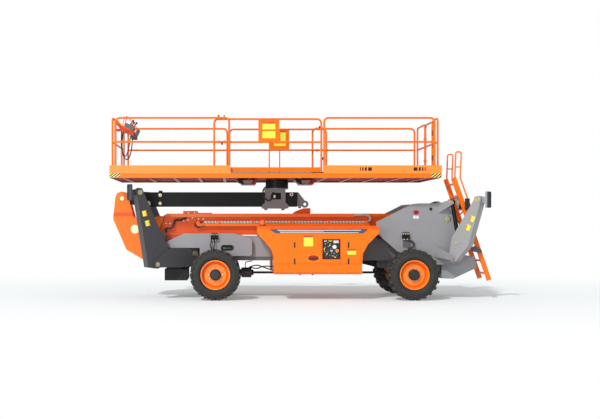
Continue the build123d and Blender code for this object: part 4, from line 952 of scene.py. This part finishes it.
BOOM_PINS = (
    # name, body, x, distance from the middle, z, radius, has a keeper bolt
    ("boom_pivot_cap", "chassis", 3.124, 0.6265, 1.714, 0.066, False),
    ("head_disc", "boom_fly", -3.610, 0.2385, 1.487, 0.098, False),
    ("jib_pivot_pin", "boom_fly", -3.895, 0.2505, 2.162, 0.044, True),
    ("jib_eye_pin", "jib", -3.332, 0.125, 2.055, 0.050, True),
)
for side, sign in SIDES:
    for name, body, x, away, z, radius, keeper in BOOM_PINS:
        pin_head(f"{name}_{side}", x, z, sign * away, sign, radius, body, keeper=keeper)
print("kinds of pin heads:", len(PIN_HEADS) + len(BOOM_PINS))

# %% [markdown]
# ## Sign boards
# Two boards hang between the rails of the side gates. Each is an orange sheet with a folded rim, and
# carries two blank yellow plates, the upper one with a red head. A block with its faces pressed in has such
# a rim by itself, so the board and its plates are blocks of a few millimetres.

# %% Sign boards
BOARDS = (
    # body, side, board x0, x1, z0, z1, plates (x0, x1, z0, z1)
    ("side_gate_near", -1, -0.946, -0.507, 3.336, 3.803,
     ((-0.862, -0.592, 3.585, 3.735), (-0.862, -0.592, 3.400, 3.548))),
    ("side_gate_far", 1, -0.637, -0.165, 3.336, 3.803,
     ((-0.370, -0.246, 3.530, 3.760), (-0.521, -0.246, 3.411, 3.474))),
)
GATE_Y = 1.060
for body, sign, x0, x1, z0, z1, plates in BOARDS:
    y = sign * GATE_Y
    brick(f"sign_board_{body}", (x0, y - 0.007, z0), (x1, y + 0.007, z1), body, orange, 0.003)
    for number, (a, b, low, high) in enumerate(plates):
        for face in (-1, 1):
            way = "in" if face == -sign else "out"
            skin, front = y + face * 0.004, y + face * 0.0085
            brick(f"sign_plate_{body}_{number}_{way}", (a, skin, low), (b, front, high), body, label_yellow,
                  0.001)
            if number == 0:
                brick(f"sign_head_{body}_{way}", (a, skin, high - 0.032), (b, front + face * 0.001, high),
                      body, label_red, 0.001)
for label, x in (("a", -0.628), ("b", -0.388)):
    drum(f"board_post_{label}", (x, GATE_Y, 2.745), (x, GATE_Y, 3.30), 0.014, "side_gate_far", orange)
print("sign boards:", len(BOARDS))

# %% [markdown]
# ## Operator's console
# A grey box with two joysticks and a short lever sits on the sloping orange tray. The box is a block turned
# to the tray's slope. A joystick is three drums, its boot, stem and grip, because a tapered boot is what
# tells it from a plain pin. A round cover looks out at the right.

# %% Console
TRAY_SLOPE = radians(27.6)
brick("console_box", (-3.775, -0.860, 3.618), (-3.565, -0.560, 3.706), "platform", dark_plastic, 0.010,
      turn=TRAY_SLOPE)
brick("console_switches", (-3.745, -0.850, 3.690), (-3.645, -0.570, 3.716), "platform", grey_plastic, 0.004,
      turn=TRAY_SLOPE)
STICKS = (
    # x, y, z of the foot and the height
    (-3.665, -0.80, 3.700, 0.075), (-3.610, -0.62, 3.672, 0.075), (-3.640, -0.71, 3.690, 0.055),
)
for number, (x, y, z, height) in enumerate(STICKS):
    tip = (x + height * 0.75, y, z + height)
    grip = (tip[0] + 0.024, y, tip[2] + 0.034)
    boot = drum("stick", (x, y, z - 0.02), (x + 0.018, y, z + 0.022), 0.030, "platform", black_plastic,
                top=0.014)
    join(f"joystick_{number + 1}", [
        boot, drum("stick", (x, y, z), tip, 0.013, "platform", black_plastic, 0.001),
        drum("stick", tip, grip, 0.021, "platform", black_plastic, 0.004)])
CONSOLE_DRUMS = (
    # name, x and z of one end, x and z of the other, radius, finish, edge
    ("console_stop_button", -3.600, 3.655, -3.583, 3.689, 0.022, label_red, 0.003),
    ("console_cover", -3.550, 3.532, -3.500, 3.506, 0.104, dark_plastic, 0.010),
    ("console_cover_ring", -3.560, 3.537, -3.545, 3.529, 0.111, orange, 0.004),
)
for name, x0, z0, x1, z1, radius, finish, edge in CONSOLE_DRUMS:
    drum(name, (x0, -0.71, z0), (x1, -0.71, z1), radius, "platform", finish, edge)
brick("console_junction", (-3.640, -0.790, 3.400), (-3.520, -0.640, 3.488), "platform", black_plastic,
      0.006)
print("joysticks:", len(STICKS))

# %% [markdown]
# ## Cowling trim
# Both hoods carry a blue band with plain stripes, four black latches and a handle. The near one also has
# two yellow plates and the seal round the window of the ground controls. Paint could show the band, but
# foil has an edge that catches light: slanting pieces are cut sheets, upright ones are blocks.

# %% Band, labels and latches
HOOD_Y = -1.120
BAND_DEPTH = 0.012
STRIPES = (
    # name, upper edge x0, x1 and z, lower edge x0, x1 and z, how far it stands out, finish
    ("hood_band", -0.714, 1.339, 1.497, -0.590, 1.235, 1.408, 0.004, label_blue),
    ("band_stripe_upper", -0.560, 1.200, 1.478, -0.545, 1.185, 1.466, 0.006, label_white),
    ("band_stripe_middle", -0.520, 0.420, 1.457, -0.490, 0.400, 1.436, 0.006, orange),
    ("band_stripe_lower", -0.500, 1.150, 1.428, -0.485, 1.140, 1.418, 0.006, label_white),
)
for side, sign in SIDES:
    for name, a0, a1, high, b0, b1, low, proud, finish in STRIPES:
        face = -HOOD_Y - BAND_DEPTH if sign > 0 else HOOD_Y - proud
        cut_sheet(f"{name}_{side}", [(a0, high), (a1, high), (b1, low), (b0, low)], face,
                  BAND_DEPTH + proud, f"hood_{side}", finish, 0.0005)
# x0, x1, z0, z1 of the yellow plates
LABELS = ((0.000, 0.194, 1.137, 1.363), (0.907, 1.092, 0.964, 1.083))
for number, (x0, x1, z0, z1) in enumerate(LABELS):
    brick(f"hood_label_{number + 1}", (x0, HOOD_Y - 0.0025, z0), (x1, HOOD_Y + 0.002, z1), "hood_near",
          label_yellow, 0.0005)
    brick(f"hood_label_head_{number + 1}", (x0, HOOD_Y - 0.0035, z1 - 0.040), (x1, HOOD_Y + 0.002, z1),
          "hood_near", label_red, 0.0005)
LATCH_HALF, LATCH_HALF_HEIGHT = 0.017, 0.060
LATCHES = (("left_upper", -0.192, 1.165), ("left_lower", -0.192, 0.823),
           ("right_upper", 0.935, 1.165), ("right_lower", 0.935, 0.823))
for side, sign in SIDES:
    skin = sign * -HOOD_Y
    for place, x, z in LATCHES:
        brick(f"hood_latch_{place}_{side}", (x - LATCH_HALF, skin - sign * 0.004, z - LATCH_HALF_HEIGHT),
              (x + LATCH_HALF, skin + sign * 0.010, z + LATCH_HALF_HEIGHT), f"hood_{side}", black_plastic,
              0.005)
    brick(f"hood_handle_{side}", (0.110, skin + sign * 0.002, 0.868), (0.290, skin + sign * 0.018, 0.896),
          f"hood_{side}", black_plastic, 0.007)
SEAL = 0.010
SEAL_SIDES = ((0.380, 0.772, 1.283, 1.283 + SEAL), (0.380, 0.772, 0.870 - SEAL, 0.870),
              (0.380, 0.393, 0.870, 1.283), (0.760, 0.773, 0.870, 1.283))
join("window_seal", [
    brick("rim", (x0, HOOD_Y - 0.003, z0), (x1, HOOD_Y + 0.004, z1), "hood_near", shaded_orange, 0.001)
    for x0, x1, z0, z1 in SEAL_SIDES])
print("hood plates:", len(LABELS), "latches:", len(LATCHES) * len(SIDES))

# %% [markdown]
# ## Ground controls
# Behind the window sits a dark panel: a gauge, a red stop button on a yellow ring, rows of toggle switches
# and blank plates. The panel stays on the chassis when the hood swings up, so its face is read from the
# frame and not from the hood. The switches lean one way or the other, as if somebody had just used them.

# %% Ground controls
PANEL_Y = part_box("ground_controls")[0][1]


def panel_drum(name, x, z, behind, before, radius, finish, edge):
    """A round part that starts behind the panel's face and ends in front of it."""
    drum(name, (x, PANEL_Y + behind, z), (x, PANEL_Y - before, z), radius, "chassis", finish, edge)


panel_drum("gauge_ring", 0.648, 1.123, 0.010, 0.016, 0.047, steel, 0.003)
panel_drum("gauge_face", 0.648, 1.123, -0.010, 0.0175, 0.037, label_white, 0.001)
brick("gauge_needle", (0.645, PANEL_Y - 0.020, 1.120), (0.651, PANEL_Y - 0.017, 1.150), "chassis",
      label_red, 0.0005, turn=radians(-35))
panel_drum("stop_ring", 0.704, 1.038, 0.004, 0.006, 0.034, label_yellow, 0.001)
panel_drum("stop_button", 0.704, 1.038, 0.000, 0.030, 0.020, label_red, 0.004)
# x and z of each switch
TOGGLES = ((0.455, 1.19), (0.505, 1.21), (0.555, 1.19), (0.455, 1.11), (0.520, 1.13), (0.575, 1.08),
           (0.450, 1.02), (0.510, 1.03), (0.585, 1.00), (0.640, 0.985), (0.470, 0.94), (0.545, 0.945),
           (0.615, 0.925), (0.690, 0.945))


def toggle_row(name, toggles, behind, before, lean, rise, radius, **shape):
    """The same piece of several switches: one is modelled, the rest are copied."""
    x, z = toggles[0]
    first = drum("toggle", (x, PANEL_Y + behind, z), (x + lean, PANEL_Y - before, z + rise), radius,
                 "chassis", steel, 0.001, **shape)
    return spread(name, first, [(other_x - x, 0, other_z - z) for other_x, other_z in toggles[1:]])


toggle_row("toggle_nuts", TOGGLES, 0.002, 0.008, 0.0, 0.0, 0.011, sides=6)
leaning_left = TOGGLES[::3]
leaning_right = [place for number, place in enumerate(TOGGLES) if number % 3]
levers = [toggle_row("levers", toggles, -0.004, 0.034, lean, 0.012, 0.0035, sides=12, top=0.006)
          for toggles, lean in ((leaning_left, -0.008), (leaning_right, 0.008))]
join("toggle_levers", levers)
PLATES = (
    # x0, x1, z0, z1, finish
    (0.430, 0.490, 1.233, 1.262, label_white), (0.520, 0.600, 1.236, 1.262, label_yellow),
    (0.628, 0.738, 1.205, 1.262, label_white), (0.425, 0.443, 1.05, 1.10, label_yellow),
    (0.480, 0.500, 0.965, 0.995, label_yellow), (0.560, 0.610, 1.030, 1.052, label_white),
    (0.640, 0.676, 0.900, 0.918, label_yellow), (0.540, 0.560, 1.140, 1.170, label_yellow),
)
for number, (x0, x1, z0, z1, finish) in enumerate(PLATES):
    brick(f"control_plate_{number + 1}", (x0, PANEL_Y - 0.002, z0), (x1, PANEL_Y + 0.001, z1), "chassis",
          finish, 0.0005)
print("toggles:", len(TOGGLES), "plates:", len(PLATES))

# %% [markdown]
# ## Tray trim
# A row of screws closes the tray's lower edge, two round feet hang under it, and the hood and the beacon
# have their own fixings above. Such heads are a few pixels each, yet without them the long edge looks
# unfinished. One is modelled and copied along the edge.

# %% Screws, feet and bolts
TRAY_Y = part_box("side_trays")[0][1]
HOOD_TOP = 1.560
screw = drum("screw", (-0.190, TRAY_Y + 0.002, 0.590), (-0.190, TRAY_Y - 0.003, 0.590), 0.009, "chassis",
             steel, 0.001, sides=6)
spread("tray_screws", screw, [(x + 0.190, 0, 0) for x in (0.160, 0.515, 0.870, 1.220)])
for number, x in enumerate((-0.071, 0.190)):
    drum(f"tray_foot_{number + 1}", (x, -1.050, 0.556), (x, -1.050, 0.530), 0.022, "chassis", black_plastic,
         0.003)
bolt = drum("bolt", (-0.060, -0.90, HOOD_TOP), (-0.060, -0.90, HOOD_TOP + 0.011), 0.014, "hood_near", steel,
            0.001, sides=6)
spread("hood_bolts", bolt, [(step, 0, 0) for step in (0.660, 1.320)])
drum("beacon_foot", (-0.857, -1.030, 1.5635), (-0.857, -1.030, 1.592), 0.062, "hood_near", black_plastic,
     0.004)
print("tray face at", round(TRAY_Y, 4))

# %% [markdown]
# ## Valve blocks
# Two dark valve blocks are bolted to the grey sides: one over the front wheel for the steering, one on the
# tower. Each is a machined block with plated cartridges on top and short threaded ports below. Both come
# from one function, since only their size and place differ. A black sheet at the back of the oval slot is
# painted shade for its dark inside, and a green vessel lies in the slot.


# %% Valve blocks and the slot
def valve_block(name, x0, x1, z0, z1, y0, depth):
    """A block with three cartridges above, two ports below and a cap in front."""
    y1 = y0 - depth
    middle = (y0 + y1) / 2
    dark = [brick("block", (x0, y1, z0 + 0.03), (x1, y0, z1 - 0.05), "chassis", black, 0.006),
            brick("block", (x0 + 0.02, y1 - 0.025, z0 + 0.06), (x1 - 0.06, y1 + 0.01, z1 - 0.09), "chassis",
                  black, 0.006)]
    plated = []
    for share in (0.18, 0.5, 0.82):
        x = x0 + (x1 - x0) * share
        plated.append(drum("cartridge", (x, middle, z1 - 0.055), (x, middle, z1 - 0.025), 0.020, "chassis",
                           zinc, 0.002, sides=6))
        dark.append(drum("coil", (x, middle, z1 - 0.028), (x, middle, z1), 0.017, "chassis", black))
    for share in (0.3, 0.7):
        x = x0 + (x1 - x0) * share
        plated.append(drum("port", (x, middle, z0 + 0.035), (x, middle, z0), 0.017, "chassis", zinc, 0.002,
                           sides=6))
    join(name, dark)
    join(f"{name}_fittings", plated)


valve_block("steering_valve", -1.955, -1.800, 1.240, 1.412, -0.560, 0.075)
valve_block("tower_valve", 2.139, 2.300, 1.262, 1.429, -0.620, 0.070)
brick("tower_valve_plate", (2.160, -0.628, 1.10), (2.330, -0.620, 1.262), "chassis", slate, 0.002)
# the slot's outline in x and z
SLOT = [(-1.700, 1.128), (-1.672, 1.143), (-1.520, 1.143), (-1.492, 1.128), (-1.492, 1.052),
        (-1.520, 1.037), (-1.672, 1.037), (-1.700, 1.052)]
# painted shade: a black sheet for the dark inside of the slot
cut_sheet("slot_shade_sheet", SLOT, -0.510, 0.010, "chassis", dark_steel)
drum("slot_canister", (-1.690, -0.500, 1.075), (-1.510, -0.500, 1.075), 0.030, "chassis", canister_green,
     0.006)
print("slot corners:", len(SLOT))

# %% [markdown]
# ## Boom clamps and the boom's left end
# Five orange clamps hold the hoses to the boom's side. At the boom's left end a grey bracket guides a hose,
# the hose tray ends in a ring, and two skirts close the trough below. Bolts stand wherever the collar is
# screwed on: the side isn't flat there, so a ray from outside finds the skin under each of them.

# %% Boom trim
CLAMP_XS = (-1.774, -1.044, -0.212, 0.613, 1.443)
for number, x in enumerate(CLAMP_XS):
    join(f"hose_clamp_{number + 1}", [
        brick("clamp", (x - 0.024, -0.306, 1.606), (x + 0.024, -0.212, 1.684), "boom_base", orange, 0.006),
        drum("clamp", (x, -0.305, 1.645), (x, -0.313, 1.645), 0.010, "boom_base", orange, 0.002, sides=6)])
# outlines in x and z
BRACKET = [(-3.040, 1.250), (-2.940, 1.250), (-2.940, 1.400), (-2.970, 1.437), (-3.040, 1.437)]
cut_sheet("boom_end_bracket", BRACKET, -0.262, 0.020, "boom_base", bracket_grey)
drum("head_hose_socket", (-2.94, -0.245, 1.425), (-2.94, -0.245, 1.465), 0.030, "boom_base", black_plastic)
SKIRT = [(-2.935, 1.450), (-2.600, 1.450), (-2.600, 1.330), (-2.780, 1.215), (-2.925, 1.215)]
for side, y in (("near", -0.207), ("far", 0.195)):
    cut_sheet(f"boom_skirt_{side}", SKIRT, y, 0.012, "boom_base", shaded_orange)
# x and z of each bolt
BOOM_BOLTS = ((-2.935, 1.615), (-2.845, 1.615), (-2.758, 1.842), (-2.450, 1.847), (-2.319, 1.847),
              (-2.361, 1.738), (-2.461, 1.688), (-2.557, 1.680), (-2.226, 1.716), (-2.127, 1.716))
bolts = []
for x, z in BOOM_BOLTS:
    hit, spot, _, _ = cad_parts["boom_base"].ray_cast((x, -1.0, z), (0, 1, 0))
    if hit:
        bolts.append(drum("bolt", (x, spot.y + 0.003, z), (x, spot.y - 0.009, z), 0.014, "boom_base", steel,
                          0.002, sides=6))
join("boom_bolts", bolts)
RING_X, RING_Z = -2.232, 1.618
join("tray_end_ring", [
    drum("ring", (RING_X, -0.222, RING_Z), (RING_X, -0.306, RING_Z), 0.046, "boom_base", orange, 0.004),
    drum("ring", (RING_X, -0.300, RING_Z), (RING_X, -0.310, RING_Z), 0.028, "boom_base", orange, 0.004)])
drum("tray_end_pin", (RING_X, -0.300, RING_Z), (RING_X, -0.312, RING_Z), 0.014, "boom_base", shaded_orange,
     0.002)
brick("tray_end_fitting", (-2.150, -0.300, 1.548), (-2.080, -0.262, 1.588), "boom_base", black_plastic,
      0.008)
brick("boom_top_clamp", (-2.427, -0.252, 1.758), (-2.391, -0.212, 1.832), "boom_base", black_plastic, 0.005)
print("hose clamps:", len(CLAMP_XS), "bolts:", len(bolts))

# %% [markdown]
# ## Under the deck
# Two shallow boxes hang under the deck beside the rotator. Their sides lean in, so each is a sheet cut to
# that outline and given its depth, with a thinner cover in front.

# %% Under-deck boxes
deck_box_paint = paint("deck_box_paint", "mid_grey", (0.26, 0.19, 0.17), 0.45)
for name, x0, x1 in (("left", -1.403, -0.995), ("right", -0.142, 0.249)):
    box = [(x0, 2.572), (x1, 2.572), (x1 - 0.06, 2.500), (x1 - 0.09, 2.462), (x0 + 0.13, 2.462),
           (x0 + 0.05, 2.500)]
    cover = [(x0 + 0.14, 2.556), (x1 - 0.04, 2.556), (x1 - 0.085, 2.475), (x0 + 0.16, 2.475)]
    cut_sheet(f"deck_box_{name}", box, -0.42, 0.34, "platform", black, 0.004)
    cut_sheet(f"deck_box_cover_{name}", cover, -0.432, 0.014, "platform", deck_box_paint, 0.003)
    print("under-deck box from", x0, "to", x1)

# %% [markdown]
# ## Rail clamps and hinges
# Small black clamps join the rails where one frame meets the next, and two more carry the end gate. A block
# with well rounded edges is enough at their size, and a table keeps each one's place and half size.

# %% Rail clamps
CLAMPS = (
    # name, x, y, z, half length, half height
    ("near_top", -1.777, -1.116, 3.836, 0.020, 0.042),
    ("near_top_b", -1.660, -1.116, 3.840, 0.014, 0.034),
    ("near_mid", -1.710, -1.116, 3.290, 0.018, 0.034),
    ("far_top", 0.547, 1.116, 3.836, 0.022, 0.042),
    ("near_low", 0.397, -1.116, 2.971, 0.016, 0.026),
    ("gate_hinge_low", 2.812, -0.590, 3.018, 0.024, 0.060),
    ("gate_hinge_high", 2.812, -0.590, 3.553, 0.024, 0.060),
)
CLAMP_DEPTH = 0.023
for name, x, y, z, half, high in CLAMPS:
    brick(f"rail_clamp_{name}", (x - half, y - CLAMP_DEPTH, z - high),
          (x + half, y + CLAMP_DEPTH, z + high), "platform", black_plastic, 0.008)
print("clamps:", len(CLAMPS))

# %% [markdown]
# ## Plates on legs and tower
# The outriggers carry small yellow plates with an orange head, turned with the leg. Working out each corner
# on the slanted leg would be slow, so they are drawn upright in the leg's own plane and turned into place
# by its matrix. The tower has two blank white squares under its slot, and the ladder a box and a bracket.

# %% Leg plates
LEG_PLATES = (
    # end, x and z in the leg's plane, lean of the leg
    ("front", 0.290, 1.075, radians(14.4)), ("front", 0.222, 0.871, radians(14.4)),
    ("rear", 0.449, 0.822, radians(24.7)), ("rear", 0.352, 0.640, radians(24.7)),
)
PLATE_HALF, PLATE_HALF_HEIGHT = 0.048, 0.058
for number, (end, x, z, lean) in enumerate(LEG_PLATES):
    for side, sign in SIDES:
        face = sign if end == "rear" else -sign
        plane = outrigger_plane(end, sign)
        body = f"outrigger_leg_{end}_{side}"
        back, front, head = (face * (LEG_SIDE + step) for step in (-0.001, 0.0025, 0.0032))
        low, high = z - PLATE_HALF_HEIGHT, z + PLATE_HALF_HEIGHT
        brick(f"leg_plate_{number + 1}_{side}", (x - PLATE_HALF, back, low), (x + PLATE_HALF, front, high),
              body, label_yellow, 0.0005, plane, lean)
        brick(f"leg_plate_head_{number + 1}_{side}", (x - 0.052, back, low), (x - 0.030, head, high), body,
              orange, 0.0005, plane, lean)
for number, x in enumerate((2.412, 2.474)):
    brick(f"tower_plate_{number + 1}", (x - 0.026, -0.6225, 1.718), (x + 0.026, -0.619, 1.780), "chassis",
          label_white, 0.0005)
drum("tower_bolt", (2.760, -0.619, 1.924), (2.760, -0.634, 1.924), 0.034, "chassis", dark_steel, 0.003,
     sides=6)
brick("ladder_box", (3.487, -0.655, 1.905), (3.590, -0.621, 2.150), "chassis", black_plastic, 0.008)
LADDER_BRACKET = [(3.610, 1.100), (3.700, 1.135), (3.850, 1.045), (3.850, 0.975), (3.625, 1.020)]
cut_sheet("ladder_bracket", LADDER_BRACKET, -0.640, 0.012, "chassis", slate)
print("leg plates:", len(LEG_PLATES) * len(SIDES))

# %% [markdown]
# ## Jib trim
# Zinc heads hold the jib's pipe on the beam with a black cap above, a pale sensor with a red centre sits
# near the nose, and the grey bracket shows a window with slanting corners. The window is no hole but a
# black sheet on the bracket, painted shade for the dark seen through it: its depth doesn't show, and a
# sheet needs no cut in the frame's own solid.

# %% Jib trim
HOOP_X = -3.074
for number, z in enumerate((2.237, 2.055)):
    join(f"jib_hoop_{number + 1}", [
        drum("hoop", (HOOP_X, -0.126, z), (HOOP_X, -0.140, z), 0.036, "jib", zinc),
        drum("hoop", (HOOP_X, -0.138, z), (HOOP_X, -0.150, z), 0.016, "jib", steel, 0.002, sides=6)])
brick("jib_hoop_cap", (-3.110, -0.10, 2.298), (-3.035, 0.10, 2.338), "jib", black, 0.006)
SENSOR_X, SENSOR_Z = -0.189, 2.252
drum("jib_sensor", (SENSOR_X, -0.124, SENSOR_Z), (SENSOR_X, -0.136, SENSOR_Z), 0.040, "jib", steel, 0.002)
drum("jib_sensor_light", (SENSOR_X, -0.130, SENSOR_Z), (SENSOR_X, -0.141, SENSOR_Z), 0.022, "jib",
     label_red, 0.002)
WINDOW = [(-0.640, 2.262), (-0.535, 2.262), (-0.505, 2.235), (-0.505, 2.180), (-0.530, 2.150),
          (-0.620, 2.150), (-0.655, 2.178)]
# painted shade: a black sheet where the window's opening would look dark
cut_sheet("bracket_window", WINDOW, -0.1665, 0.006, "jib", black)
brick("bracket_window_fitting", (-0.610, -0.172, 2.172), (-0.545, -0.163, 2.240), "jib", zinc, 0.003)
print("jib window corners:", len(WINDOW))
